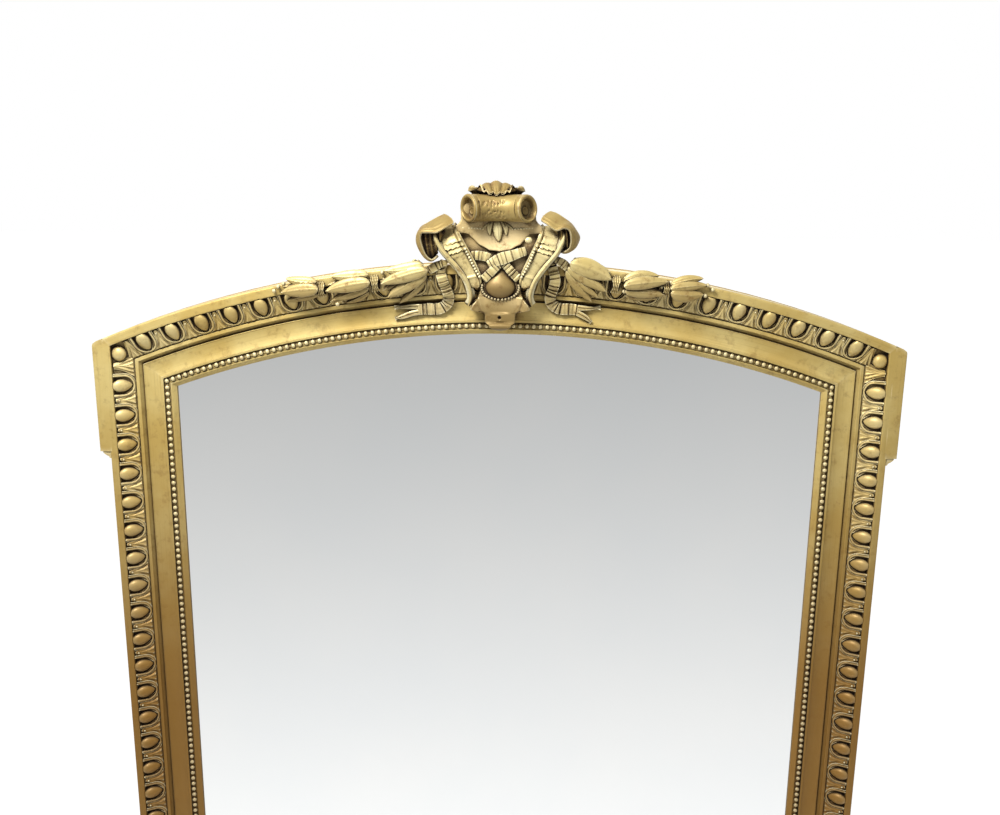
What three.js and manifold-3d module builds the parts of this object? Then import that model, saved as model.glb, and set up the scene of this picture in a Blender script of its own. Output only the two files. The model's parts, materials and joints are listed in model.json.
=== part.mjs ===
// Arched overmantel mirror with egg-and-dart and beaded mouldings, eared corners and a carved crest.
// Millimetres, +Z up, the front faces -Y. The origin is the middle of the underside that rests on a shelf.

import * as THREE from 'three';
import { mergeVertices } from 'three/addons/utils/BufferGeometryUtils.js';
import Module from 'manifold-3d';

const wasm = await Module();
wasm.setup();

// ---------------------------------------------------------------------------------------------
// Driving dimensions. Heights above the back face are called h, widths in from the outer edge w.
// ---------------------------------------------------------------------------------------------

// Outline
const HALF_WIDTH = 667;             // middle of the frame to a stile's outer edge
const FRAME_TOP = 1695;             // shelf to the crown of the arch
const ARCH_RADIUS = 1765;           // outer edge of the arched top
const FRAME_DEPTH = 66;             // back face to the face of the lip
const CLEARANCE = 0.3;              // joint line between pieces that touch

// Carcass
const CARCASS_DEPTH = 29;
const BOARD_REBATE_WIDTH = 92;      // outer edge to the rebate for the boards
const BOARD_REBATE_DEPTH = 14.6;
const GLASS_REBATE_WIDTH = 101;     // outer edge to the rebate for the glass
const LAP_HEIGHT = 11;              // back face to the halving of the corner joints

// Mouldings
const LIP_WIDTH = 12.5;
const LIP_ROUNDING = 2.8;
const LIP_INNER_ROUNDING = 1.7;
const ROUNDING_MIDDLE = 0.3;        // middle of a rounding inside its corner, as a share of its radius
const EGG_BAND_WIDTH = 32.8;
const EGG_GROUND_OUTER = 56;        // h of the enriched ground under the lip
const EGG_GROUND_INNER = 44;        // h of it at the fillet
const FILLET_WIDTH = 6.2;
const FILLET_HEIGHT = 46.5;
const TORUS_WIDTH = 8;
const TORUS_HEIGHT = 47.4;
const HOLLOW_WIDTH = 27.5;
const HOLLOW_HEIGHT = 38.4;
const INNER_FILLET_WIDTH = 4;
const INNER_FILLET_HEIGHT = 42.6;
const BEAD_CHANNEL_WIDTH = 10.6;
const BEAD_CHANNEL_HEIGHT = 38.2;
const BEAD_CROWN = 5.6;             // how far the beads stand out of the channel
const SIGHT_WIDTH = 9;
const SIGHT_EDGE_HEIGHT = 32.2;
const SIGHT_LIP_WIDTH = 1.8;        // the small raised edge between the beads and the sight bevel
const SIGHT_LIP_RISE = 1.2;
const ARCH_LIP_WIDTH = 16;          // the lip is wider on the arch
const ARCH_SPREAD = 1.07;           // and the rest of the moulding a little wider too
const ARCH_STEPS = 32;

// Egg-and-dart
const EGG_PITCH = 52.09;
const STRIP_THICKNESS = 1.6;
const STRIP_SIDE_GAP = 0.48;        // between the strip and the lip
const STRIP_LIFT = 0.36;            // joint line under the strip
const CORNER_TO_STILE_EGG = 57;
const CORNER_TO_ARCH_EGG = 43;
const EGG_LINE = 0.5;               // where the eggs' middle lies across the band
const EGG_RELIEF = 10;              // height of the largest egg section over its ground
const CROWN_ROOM = 0.4;             // share of a pitch that stays free on each side of the crown
const COLUMN_STEP = 0.5;            // closer columns of the relief are left out

// Ears
const EAR_PROJECTION = 18;
const EAR_LENGTH = 188;             // from the ear's upper corner down
const EAR_FOOT_HEIGHT = 12.7;
const EAR_FOOT_SETBACK = 2;
// The foot's outline: share of the ear's projection, share of the foot's height.
const EAR_FOOT_CURVE = [[0, 0], [0.14, 0], [0.2, 0.25], [0.45, 0.45], [0.72, 0.72], [0.76, 1]];

// Glass, fillets, boards and battens
const GLASS_THICKNESS = 5;
const GLASS_EDGE_CLEARANCE = 2;
const GLAZING_FILLET_WIDTH = 8;
const BOARD_THICKNESS = 6;
const BOARD_EDGE_CLEARANCE = 0.8;
const BOARD_ARCH_STEPS = 12;
const BOARD_JOINTS = [-192, 192];
const BATTEN_THICKNESS = 7.4;
const BATTEN_WIDTH = 70;
const BATTEN_HEIGHTS = { lower_batten: 430, upper_batten: 1200 };

// Hangers
const HANGER_FROM_EDGE = 46;
const HANGER_HEIGHT = 1250;
const RECESS_WIDTH = 56;
const RECESS_ABOVE = 58;
const RECESS_BELOW = 52;
const RECESS_DEPTH = 10;
const PLATE_WIDTH = 16;
const PLATE_LENGTH = 50;
const PLATE_THICKNESS = 1.7;
const RING_WIRE_RADIUS = 2;
const RING_BAR = 26;                // straight bar of the ring, between its bends
const RING_DROP = 34;               // bar to the lowest point of the ring's centre line
const RING_BEND = 3;
const RING_BEND_MIDDLE = 0.7;
const RING_ARC_STEPS = 10;
const WIRE_SIDES = 8;
const RING_AXIS_DEPTH = 4.9;        // back face to the bar's axis
const KNUCKLE_WALL = 1.5;
const RUNNING_CLEARANCE = 0.35;
const SCREW_RADIUS = 1.9;
const SCREW_HEAD_RADIUS = 3.6;
const SCREW_HEAD_HEIGHT = 1.5;
const SCREW_LENGTH = 17;
const SCREW_POINT_ROOM = 1;
const SCREW_OFFSETS = { upper: 40, lower: 16 };

// Crest
const CREST_HEIGHT = 135;           // crown of the arch to the tip of the leaf
const PLATE_BACK = 0.5;             // lip face to the back of the shield
const SHIELD_THICKNESS = 14;
const CREST_BOARD_BACK = 30;
const CREST_BOARD_SEAT = 0.5;
const CREST_BOARD_STEPS = 6;
const CREST_SEAT_GAP = 0.42;        // carving to the mouldings it lies on

const FINISHES = {
  gilding: { color: 0xc9ad5e, roughness: 0.38, metalness: 0.9 },
  pine: { color: 0x9a7448, roughness: 0.8, metalness: 0 },
  old_board: { color: 0x7b5f40, roughness: 0.85, metalness: 0 },
  silvered_glass: { color: 0xd8dcdc, roughness: 0.03, metalness: 1 },
  iron: { color: 0x4a4642, roughness: 0.6, metalness: 0.9 },
  brass: { color: 0xa9853f, roughness: 0.45, metalness: 0.95 },
};

const BACK = FRAME_DEPTH / 2;       // Y of the back face
const ARCH_CENTRE = FRAME_TOP - ARCH_RADIUS;
const MITRE_GAP = 0.25;
const ROUND_SIDES = 12;
const CORNER_REACH = 1.5;           // a corner moves further than the faces that meet there
const WELD = 1e-4;
const CUT_OVERRUN = 2;              // how far a cut runs on past the wood
const SHOULDER_DROP = 40;           // the cut for the arched rail, below the arch's end
const ARCH_OVERRUN = 20;
const PLATE_FRONT = RING_AXIS_DEPTH - RECESS_DEPTH + CLEARANCE;

const model = new THREE.Group();

// ---------------------------------------------------------------------------------------------
// Closed meshes
// ---------------------------------------------------------------------------------------------

function depthY(h) {
  return BACK - h;
}

// A closed body from points and triangles, turned so that its faces point out.
function closedGeometry(points, faces) {
  let volume = 0;
  const a = new THREE.Vector3();
  const b = new THREE.Vector3();
  const c = new THREE.Vector3();
  for (const [i, j, k] of faces) {
    a.set(...points[i]);
    b.set(...points[j]);
    c.set(...points[k]);
    volume += a.dot(b.cross(c));
  }
  const index = faces.flatMap(([i, j, k]) => (volume > 0 ? [i, j, k] : [i, k, j]));
  const geometry = new THREE.BufferGeometry();
  geometry.setAttribute('position', new THREE.Float32BufferAttribute(points.flat(), 3));
  geometry.setIndex(index);
  return geometry;
}

// A body through rings of points, each ring with the same number of points, with both ends closed.
function loft(rings, capFaces) {
  const count = rings[0].length;
  const points = rings.flat();
  const faces = [];
  for (let r = 0; r + 1 < rings.length; r += 1) {
    for (let i = 0; i < count; i += 1) {
      const j = (i + 1) % count;
      const here = r * count;
      const next = here + count;
      faces.push([here + i, here + j, next + j], [here + i, next + j, next + i]);
    }
  }
  const last = (rings.length - 1) * count;
  for (const [i, j, k] of capFaces) {
    faces.push([i, k, j], [last + i, last + j, last + k]);
  }
  return closedGeometry(points, faces);
}

function fanFaces(count) {
  return Array.from({ length: count - 2 }, (_, i) => [0, i + 1, i + 2]);
}

// The triangles of a closed outline of [x, y] points, counted the way the outline runs.
function outlineFaces(outline) {
  const faces = THREE.ShapeUtils.triangulateShape(outline.map(([x, y]) => new THREE.Vector2(x, y)), []);
  const area = outline.reduce((sum, [x, y], i) => {
    const [nx, ny] = outline[(i + 1) % outline.length];
    return sum + x * ny - nx * y;
  }, 0);
  return faces.map(([i, j, k]) => {
    const [p, q, r] = [outline[i], outline[j], outline[k]];
    const turn = (q[0] - p[0]) * (r[1] - p[1]) - (r[0] - p[0]) * (q[1] - p[1]);
    return turn * area > 0 ? [i, j, k] : [i, k, j];
  });
}

// An outline of [x, z] points made solid between two heights above the back face.
function slab(outline, low, high) {
  const ring = (h) => outline.map(([x, z]) => [x, depthY(h), z]);
  return loft([ring(low), ring(high)], outlineFaces(outline));
}

function boxSlab(x0, x1, z0, z1, low, high) {
  return slab([[x0, z0], [x1, z0], [x1, z1], [x0, z1]], low, high);
}

function solidOf(geometry) {
  const bare = geometry.clone();
  bare.deleteAttribute('normal');
  bare.deleteAttribute('uv');
  const merged = mergeVertices(bare, WELD);
  const vertProperties = new Float32Array(merged.attributes.position.array);
  const triVerts = new Uint32Array(merged.index.array);
  return new wasm.Manifold(new wasm.Mesh({ numProp: 3, vertProperties, triVerts }));
}

function geometryOf(solid) {
  const parts = solid.decompose().sort((p, q) => q.volume() - p.volume());
  const mesh = parts[0].getMesh();
  const geometry = new THREE.BufferGeometry();
  geometry.setAttribute('position', new THREE.Float32BufferAttribute(mesh.vertProperties, 3));
  geometry.setIndex([...mesh.triVerts]);
  return geometry;
}

// The same body with its skin moved out by a joint line, for the room it needs among its neighbours.
function grown(geometry, gap) {
  const bare = geometry.clone();
  bare.deleteAttribute('normal');
  bare.deleteAttribute('uv');
  const merged = mergeVertices(bare, WELD);
  merged.computeVertexNormals();
  const { position, normal } = merged.attributes;
  const reach = gap * CORNER_REACH;
  for (let i = 0; i < position.count; i += 1) {
    position.setXYZ(
      i,
      position.getX(i) + normal.getX(i) * reach,
      position.getY(i) + normal.getY(i) * reach,
      position.getZ(i) + normal.getZ(i) * reach,
    );
  }
  return solidOf(merged);
}

// A piece cut back to leave a joint line to each neighbour.
function fitted(geometry, neighbours, spaces = []) {
  const all = [...neighbours.map((neighbour) => grown(neighbour, CLEARANCE)), ...spaces];
  return geometryOf(all.reduce((solid, space) => solid.subtract(space), solidOf(geometry)));
}

function joined(geometries) {
  return geometries.map(solidOf).reduce((all, solid) => all.add(solid));
}

function mirrored(geometry) {
  const copy = geometry.clone();
  copy.scale(-1, 1, 1);
  const index = [...copy.index.array];
  for (let i = 0; i < index.length; i += 3) {
    [index[i + 1], index[i + 2]] = [index[i + 2], index[i + 1]];
  }
  copy.setIndex(index);
  return copy;
}

function addPart(name, geometry, finish, parent = model) {
  const mesh = new THREE.Mesh(geometry, new THREE.MeshStandardMaterial(FINISHES[finish]));
  mesh.name = name;
  parent.add(mesh);
}

// A piece and its mirror image, built for the right side.
function addPair(stem, geometry, finish) {
  addPart(`left_${stem}`, mirrored(geometry), finish);
  addPart(`right_${stem}`, geometry, finish);
}

// ---------------------------------------------------------------------------------------------
// The frame's outline, drawn in by any width w
// ---------------------------------------------------------------------------------------------

function archWidth(w) {
  if (w <= LIP_WIDTH) {
    return w * ARCH_LIP_WIDTH / LIP_WIDTH;
  }
  return ARCH_LIP_WIDTH + (w - LIP_WIDTH) * ARCH_SPREAD;
}

function archPoint(w, angle) {
  const radius = ARCH_RADIUS - archWidth(w);
  return [Math.sin(angle) * radius, ARCH_CENTRE + Math.cos(angle) * radius];
}

function cornerAngle(w, gap = 0) {
  return Math.asin((HALF_WIDTH - w - gap) / (ARCH_RADIUS - archWidth(w)));
}

function archHeightAt(x, w = 0) {
  const radius = ARCH_RADIUS - archWidth(w);
  return ARCH_CENTRE + Math.sqrt(radius * radius - x * x);
}

// The closed outline of the opening at width w: straight sides and bottom, arched top.
function ringOutline(w) {
  const side = HALF_WIDTH - w;
  const end = cornerAngle(w);
  const outline = [[-side, w], [side, w]];
  for (let i = 0; i <= ARCH_STEPS; i += 1) {
    outline.push(archPoint(w, end - (2 * end * i) / ARCH_STEPS));
  }
  return outline;
}

// A point of a side's moulding at width w, where t runs from one mitre to the other.
const SIDE_POINTS = {
  right: (w, t) => {
    const top = archHeightAt(HALF_WIDTH - w, w) - MITRE_GAP;
    const bottom = w + MITRE_GAP;
    return [HALF_WIDTH - w, bottom + (top - bottom) * t];
  },
  left: (w, t) => {
    const [x, z] = SIDE_POINTS.right(w, t);
    return [-x, z];
  },
  bottom: (w, t) => [(HALF_WIDTH - w - MITRE_GAP) * (2 * t - 1), w],
  top: (w, t) => archPoint(w, cornerAngle(w, MITRE_GAP) * (2 * t - 1)),
};
const SIDES = Object.keys(SIDE_POINTS);

// A moulding: a section of [w, h] points run along one side and mitred at both ends.
function mouldingGeometry(side, section) {
  const steps = side === 'top' ? ARCH_STEPS : 1;
  const rings = [];
  for (let i = 0; i <= steps; i += 1) {
    rings.push(section.map(([w, h]) => {
      const [x, z] = SIDE_POINTS[side](w, i / steps);
      return [x, depthY(h), z];
    }));
  }
  return loft(rings, outlineFaces(section));
}

// ---------------------------------------------------------------------------------------------
// Moulding sections
// ---------------------------------------------------------------------------------------------

const MOULDING_BACK = CARCASS_DEPTH + CLEARANCE;
const EGG_BAND_END = LIP_WIDTH + EGG_BAND_WIDTH;
const FILLET_END = EGG_BAND_END + FILLET_WIDTH;
const TORUS_END = FILLET_END + TORUS_WIDTH;
const HOLLOW_END = TORUS_END + HOLLOW_WIDTH;
const INNER_FILLET_END = HOLLOW_END + INNER_FILLET_WIDTH;
const CHANNEL_END = INNER_FILLET_END + BEAD_CHANNEL_WIDTH;
const SIGHT_EDGE = CHANNEL_END + SIGHT_WIDTH;

const OUTER_SECTION = [
  [0, MOULDING_BACK],
  [0, FRAME_DEPTH - LIP_ROUNDING],
  [LIP_ROUNDING * ROUNDING_MIDDLE, FRAME_DEPTH - LIP_ROUNDING * ROUNDING_MIDDLE],
  [LIP_ROUNDING, FRAME_DEPTH],
  [LIP_WIDTH - LIP_INNER_ROUNDING, FRAME_DEPTH],
  [LIP_WIDTH, FRAME_DEPTH - LIP_INNER_ROUNDING],
  [LIP_WIDTH, EGG_GROUND_OUTER],
  [EGG_BAND_END, EGG_GROUND_INNER],
  [EGG_BAND_END, MOULDING_BACK],
];

// The torus's round top, then the hollow's bowl, both as points across their width.
const TORUS_CURVE = [[0.12, -3.2], [0.2, -1], [0.42, 0], [0.66, -0.5], [0.85, -2.4]];
const HOLLOW_CURVE = [[0, 3.8], [0.18, 1.2], [0.42, 0], [0.62, 0], [0.84, 1.4], [1, 3.2]];

const INNER_SECTION = [
  [EGG_BAND_END + CLEARANCE, MOULDING_BACK],
  [EGG_BAND_END + CLEARANCE, FILLET_HEIGHT],
  [FILLET_END, FILLET_HEIGHT],
  [FILLET_END, TORUS_HEIGHT + TORUS_CURVE[0][1]],
  ...TORUS_CURVE.map(([part, rise]) => [FILLET_END + part * TORUS_WIDTH, TORUS_HEIGHT + rise]),
  ...HOLLOW_CURVE.map(([part, rise]) => [TORUS_END + part * HOLLOW_WIDTH, HOLLOW_HEIGHT + rise]),
  [HOLLOW_END, INNER_FILLET_HEIGHT],
  [INNER_FILLET_END, INNER_FILLET_HEIGHT],
  [INNER_FILLET_END, BEAD_CHANNEL_HEIGHT],
  [CHANNEL_END, BEAD_CHANNEL_HEIGHT],
  [CHANNEL_END + CLEARANCE, BEAD_CHANNEL_HEIGHT + SIGHT_LIP_RISE],
  [CHANNEL_END + SIGHT_LIP_WIDTH, BEAD_CHANNEL_HEIGHT + SIGHT_LIP_RISE],
  [SIGHT_EDGE, SIGHT_EDGE_HEIGHT],
  [SIGHT_EDGE, MOULDING_BACK],
];

const BEAD_BASE = BEAD_CHANNEL_HEIGHT + CLEARANCE;
const BEAD_CURVE = [[0, 0], [0, 0.2], [0.1, 0.7], [0.5, 1], [0.9, 0.7], [1, 0.2], [1, 0]];
const BEAD_STRIP_WIDTH = BEAD_CHANNEL_WIDTH - 2 * CLEARANCE;
const BEAD_SECTION = BEAD_CURVE.map(([part, rise]) => [
  INNER_FILLET_END + CLEARANCE + part * BEAD_STRIP_WIDTH,
  BEAD_BASE + rise * BEAD_CROWN,
]);

const GLAZING_FILLET_BASE = BOARD_REBATE_DEPTH;
const GLASS_BACK = CARCASS_DEPTH - GLASS_THICKNESS;
const GLAZING_FILLET_SECTION = [
  [GLASS_REBATE_WIDTH + CLEARANCE, GLAZING_FILLET_BASE],
  [GLASS_REBATE_WIDTH + CLEARANCE, GLASS_BACK - CLEARANCE],
  [GLASS_REBATE_WIDTH + GLAZING_FILLET_WIDTH, GLASS_BACK - CLEARANCE],
  [GLASS_REBATE_WIDTH + GLAZING_FILLET_WIDTH, GLAZING_FILLET_BASE],
];

// ---------------------------------------------------------------------------------------------
// Egg-and-dart: a grid of heights over the slanting ground
// ---------------------------------------------------------------------------------------------

const STRIP_START = LIP_WIDTH + STRIP_SIDE_GAP;
const STRIP_END = EGG_BAND_END;
const STRIP_ROWS = [0, 0.22, EGG_LINE, 0.78, 1];
const EGG_HALF = 0.22;              // half width of an egg, as a share of the pitch
const GROOVE_PLACE = 0.36;          // the groove round it
// Share of the relief on each row, from the lip inward.
const EGG_CREST = [0.3, 1, 0.95, 0.6, 0.08];
const EGG_FLANK = [0.15, 0.66, 0.64, 0.22, 0.06];
const EGG_GROOVE = [0, 0.05, 0.08, 0.16, 0.08];
const DART_RIDGE = [0.5, 0.45, 0.4, 0.35, 0.08];
const CORNER_BALL = [0.1, 0.62, 1, 0.62, 0.1];

function groundHeight(w) {
  const part = (w - LIP_WIDTH) / EGG_BAND_WIDTH;
  return EGG_GROUND_OUTER + (EGG_GROUND_INNER - EGG_GROUND_OUTER) * part + STRIP_LIFT;
}

function rowWidth(row) {
  return STRIP_START + (STRIP_END - STRIP_START) * STRIP_ROWS[row];
}

// The highest that the enrichment stands on a row.
function stripTop(row) {
  const relief = Math.max(EGG_CREST[row], DART_RIDGE[row], CORNER_BALL[row]);
  return groundHeight(rowWidth(row)) + STRIP_THICKNESS + relief * EGG_RELIEF;
}

const EGG_LINE_WIDTH = STRIP_START + (STRIP_END - STRIP_START) * EGG_LINE;

// Distances of the eggs along a side's egg line, from the middle of one corner ball.
function eggPlaces(side) {
  const places = [];
  if (side === 'top') {
    const radius = ARCH_RADIUS - archWidth(EGG_LINE_WIDTH);
    const length = 2 * cornerAngle(EGG_LINE_WIDTH) * radius;
    for (let at = CORNER_TO_ARCH_EGG; at < length / 2 - EGG_PITCH * CROWN_ROOM; at += EGG_PITCH) {
      places.push(at, length - at);
    }
    return { places: places.sort((p, q) => p - q), length };
  }
  const ends = [SIDE_POINTS[side](EGG_LINE_WIDTH, 0), SIDE_POINTS[side](EGG_LINE_WIDTH, 1)];
  const length = Math.hypot(ends[1][0] - ends[0][0], ends[1][1] - ends[0][1]);
  const last = side === 'bottom' ? 0 : CORNER_TO_STILE_EGG;
  const count = Math.round((length - last) / EGG_PITCH);
  const pitch = (length - last) / count;
  for (let i = 1; i < count + (last > 0 ? 1 : 0); i += 1) {
    places.push(i * pitch);
  }
  return { places, length };
}

// The columns of the grid: distance along the egg line and the relief of each row there.
function eggColumns(side) {
  const { places, length } = eggPlaces(side);
  const groove = GROOVE_PLACE * EGG_PITCH;
  const flank = EGG_HALF * EGG_PITCH;
  const columns = [{ at: 0, relief: CORNER_BALL, mitre: true }];
  columns.push({ at: groove, relief: EGG_GROOVE });
  let before = 0;
  for (const place of places) {
    columns.push({ at: (before + place) / 2, relief: DART_RIDGE });
    columns.push({ at: place - groove, relief: EGG_GROOVE });
    columns.push({ at: place - flank, relief: EGG_FLANK });
    columns.push({ at: place, relief: EGG_CREST });
    columns.push({ at: place + flank, relief: EGG_FLANK });
    columns.push({ at: place + groove, relief: EGG_GROOVE });
    before = place;
  }
  columns.push({ at: (before + length) / 2, relief: DART_RIDGE });
  columns.push({ at: length - groove, relief: EGG_GROOVE });
  columns.push({ at: length, relief: CORNER_BALL, mitre: true });
  const spaced = columns.filter((column, i) => i === 0 || column.at - columns[i - 1].at > COLUMN_STEP);
  return { columns: spaced, length };
}

// A point of the side at width w, so far along its egg line.
function alongSide(side, w, at, length, mitre) {
  if (mitre) {
    return SIDE_POINTS[side](w, at > 0 ? 1 : 0);
  }
  if (side === 'top') {
    const end = cornerAngle(EGG_LINE_WIDTH);
    return archPoint(w, end * ((2 * at) / length - 1));
  }
  const start = SIDE_POINTS[side](EGG_LINE_WIDTH, 0);
  if (side === 'bottom') {
    return [start[0] + at, w];
  }
  const [x] = SIDE_POINTS[side](w, 0);
  return [x, start[1] + at];
}

// One ring of the strip: the relief from the lip inward, then the two edges of its underside.
function stripRing(side, { at, relief, mitre }, length) {
  const last = STRIP_ROWS.length - 1;
  const point = (row, rise) => {
    const w = rowWidth(row);
    const [x, z] = alongSide(side, w, at, length, mitre);
    return [x, depthY(groundHeight(w) + rise), z];
  };
  const top = STRIP_ROWS.map((_, row) => point(row, STRIP_THICKNESS + relief[row] * EGG_RELIEF));
  return [...top, point(last, 0), point(0, 0)];
}

function eggStripGeometry(side) {
  const { columns, length } = eggColumns(side);
  const rings = columns.map((column) => stripRing(side, column, length));
  return loft(rings, fanFaces(rings[0].length));
}

// ---------------------------------------------------------------------------------------------
// Carcass
// ---------------------------------------------------------------------------------------------

function hangerX() {
  return HALF_WIDTH - HANGER_FROM_EDGE;
}

// A round bar along Y between two heights above the back face.
function roundBar(x, z, radius, low, high) {
  const ring = (h) => Array.from({ length: ROUND_SIDES }, (_, i) => {
    const angle = (2 * Math.PI * i) / ROUND_SIDES;
    return [x + Math.cos(angle) * radius, depthY(h), z + Math.sin(angle) * radius];
  });
  return loft([ring(low), ring(high)], fanFaces(ROUND_SIDES));
}

function hangerPocket() {
  const x = hangerX();
  const z = HANGER_HEIGHT;
  const half = RECESS_WIDTH / 2;
  const low = z - RECESS_BELOW;
  const high = z + RECESS_ABOVE;
  const pieces = [boxSlab(x - half, x + half, low, high, -CUT_OVERRUN, RECESS_DEPTH)];
  const deep = RECESS_DEPTH + SCREW_LENGTH + SCREW_POINT_ROOM;
  for (const offset of Object.values(SCREW_OFFSETS)) {
    pieces.push(roundBar(x, z + offset, SCREW_RADIUS + CLEARANCE, RECESS_DEPTH - CUT_OVERRUN, deep));
  }
  return joined(pieces);
}

function addCarcass() {
  const past = CARCASS_DEPTH + CUT_OVERRUN;
  const pockets = solidOf(slab(ringOutline(BOARD_REBATE_WIDTH), -CUT_OVERRUN, BOARD_REBATE_DEPTH))
    .add(solidOf(slab(ringOutline(GLASS_REBATE_WIDTH), -CUT_OVERRUN, past)));
  const ring = solidOf(slab(ringOutline(0), 0, CARCASS_DEPTH)).subtract(pockets);
  const wide = 2 * HALF_WIDTH;
  const tall = 2 * FRAME_TOP;
  const inner = HALF_WIDTH - GLASS_REBATE_WIDTH;
  const shoulder = archHeightAt(inner, GLASS_REBATE_WIDTH) - SHOULDER_DROP;
  const under = (gap) => solidOf(slab([
    [-wide, -wide],
    [wide, -wide],
    [wide, shoulder - gap],
    ...archLine(gap),
    [-wide, shoulder - gap],
  ], -CUT_OVERRUN, past));
  const front = (gap) => solidOf(boxSlab(-wide, wide, -wide, tall, LAP_HEIGHT - gap, past));
  const rear = solidOf(boxSlab(-wide, wide, -wide, tall, -CUT_OVERRUN, LAP_HEIGHT));
  const column = (gap) => solidOf(boxSlab(inner - gap, wide, -wide, tall, -CUT_OVERRUN, past));
  const foot = (gap) => solidOf(boxSlab(-wide, wide, -wide, GLASS_REBATE_WIDTH + gap, -CUT_OVERRUN, past));
  const columns = (gap) => column(gap).add(solidOf(mirrored(geometryOf(column(gap)))));
  const head = (gap) => ring.subtract(under(gap));

  const stile = ring.intersect(column(0))
    .subtract(head(CLEARANCE).intersect(rear))
    .subtract(foot(CLEARANCE).intersect(rear))
    .subtract(hangerPocket());
  addPair('stile', geometryOf(stile), 'pine');
  const topRail = head(0).subtract(columns(CLEARANCE).intersect(front(CLEARANCE)));
  addPart('top_rail', geometryOf(topRail), 'pine');
  const bottomRail = ring.intersect(foot(0)).subtract(columns(CLEARANCE).intersect(front(CLEARANCE)));
  addPart('bottom_rail', geometryOf(bottomRail), 'pine');
}

// The arch of the glass rebate carried on past the stiles, lowered by a gap.
function archLine(gap) {
  const radius = ARCH_RADIUS - archWidth(GLASS_REBATE_WIDTH) - gap;
  const end = Math.asin((HALF_WIDTH + ARCH_OVERRUN) / radius);
  const line = [];
  for (let i = 0; i <= ARCH_STEPS; i += 1) {
    const angle = end - (2 * end * i) / ARCH_STEPS;
    line.push([Math.sin(angle) * radius, ARCH_CENTRE + Math.cos(angle) * radius]);
  }
  return line;
}

// ---------------------------------------------------------------------------------------------
// Mouldings, ears, glass and back
// ---------------------------------------------------------------------------------------------

function addMouldings() {
  for (const side of SIDES) {
    addPart(`outer_moulding_${side}`, mouldingGeometry(side, OUTER_SECTION), 'gilding');
    addPart(`egg_and_dart_${side}`, eggStripGeometry(side), 'gilding');
    addPart(`inner_moulding_${side}`, mouldingGeometry(side, INNER_SECTION), 'gilding');
    addPart(`bead_strip_${side}`, mouldingGeometry(side, BEAD_SECTION), 'gilding');
    addPart(`glazing_fillet_${side}`, mouldingGeometry(side, GLAZING_FILLET_SECTION), 'pine');
  }
}

function earBottom() {
  return archHeightAt(HALF_WIDTH + EAR_PROJECTION) - EAR_LENGTH;
}

function addEars() {
  const outer = HALF_WIDTH + EAR_PROJECTION;
  const section = [
    [HALF_WIDTH + CLEARANCE, 0],
    [outer, 0],
    [outer, FRAME_DEPTH - LIP_ROUNDING],
    [outer - LIP_ROUNDING * ROUNDING_MIDDLE, FRAME_DEPTH - LIP_ROUNDING * ROUNDING_MIDDLE],
    [outer - LIP_ROUNDING, FRAME_DEPTH],
    [HALF_WIDTH + CLEARANCE, FRAME_DEPTH],
  ];
  const bottom = earBottom();
  const low = section.map(([x, h]) => [x, depthY(h), bottom]);
  const high = section.map(([x, h]) => [x, depthY(h), archHeightAt(x)]);
  addPair('ear', loft([low, high], outlineFaces(section)), 'gilding');

  const base = bottom - EAR_FOOT_HEIGHT;
  const rise = EAR_FOOT_HEIGHT - CLEARANCE;
  const curve = EAR_FOOT_CURVE.map(([out, up]) => [
    HALF_WIDTH + CLEARANCE + out * EAR_PROJECTION,
    base + up * rise,
  ]);
  const foot = [...curve, [HALF_WIDTH + CLEARANCE, base + rise]];
  addPair('ear_foot', slab(foot, 0, FRAME_DEPTH - EAR_FOOT_SETBACK), 'gilding');
}

function addGlass() {
  const outline = ringOutline(GLASS_REBATE_WIDTH + GLASS_EDGE_CLEARANCE);
  addPart('mirror_glass', slab(outline, GLASS_BACK, CARCASS_DEPTH), 'silvered_glass');
}

// The part of the boards' outline between two upright lines.
function boardOutline(left, right) {
  const w = BOARD_REBATE_WIDTH + BOARD_EDGE_CLEARANCE;
  const side = HALF_WIDTH - w;
  const x0 = Math.max(left, -side);
  const x1 = Math.min(right, side);
  const outline = [[x0, w], [x1, w]];
  for (let i = 0; i <= BOARD_ARCH_STEPS; i += 1) {
    const x = x1 + ((x0 - x1) * i) / BOARD_ARCH_STEPS;
    outline.push([x, archHeightAt(x, w)]);
  }
  return outline;
}

function addBack() {
  const high = BOARD_REBATE_DEPTH - CLEARANCE;
  const low = high - BOARD_THICKNESS;
  const edges = [-HALF_WIDTH, ...BOARD_JOINTS, HALF_WIDTH];
  ['left', 'middle', 'right'].forEach((name, i) => {
    const outline = boardOutline(edges[i] + CLEARANCE / 2, edges[i + 1] - CLEARANCE / 2);
    addPart(`backboard_${name}`, slab(outline, low, high), 'old_board');
  });
  const half = HALF_WIDTH - BOARD_REBATE_WIDTH - CLEARANCE;
  const front = low - CLEARANCE;
  for (const [name, z] of Object.entries(BATTEN_HEIGHTS)) {
    const bar = boxSlab(-half, half, z, z + BATTEN_WIDTH, front - BATTEN_THICKNESS, front);
    addPart(name, bar, 'pine');
  }
}

// ---------------------------------------------------------------------------------------------
// Hangers, each drawn about its ring's axis
// ---------------------------------------------------------------------------------------------

// A bar along X with its axis on the origin.
function axisBar(radius, x0, x1, turn = 0) {
  const ring = (x) => Array.from({ length: ROUND_SIDES }, (_, i) => {
    const angle = (2 * Math.PI * i) / ROUND_SIDES + turn;
    return [x, Math.cos(angle) * radius, Math.sin(angle) * radius];
  });
  return loft([ring(x0), ring(x1)], fanFaces(ROUND_SIDES));
}

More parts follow.
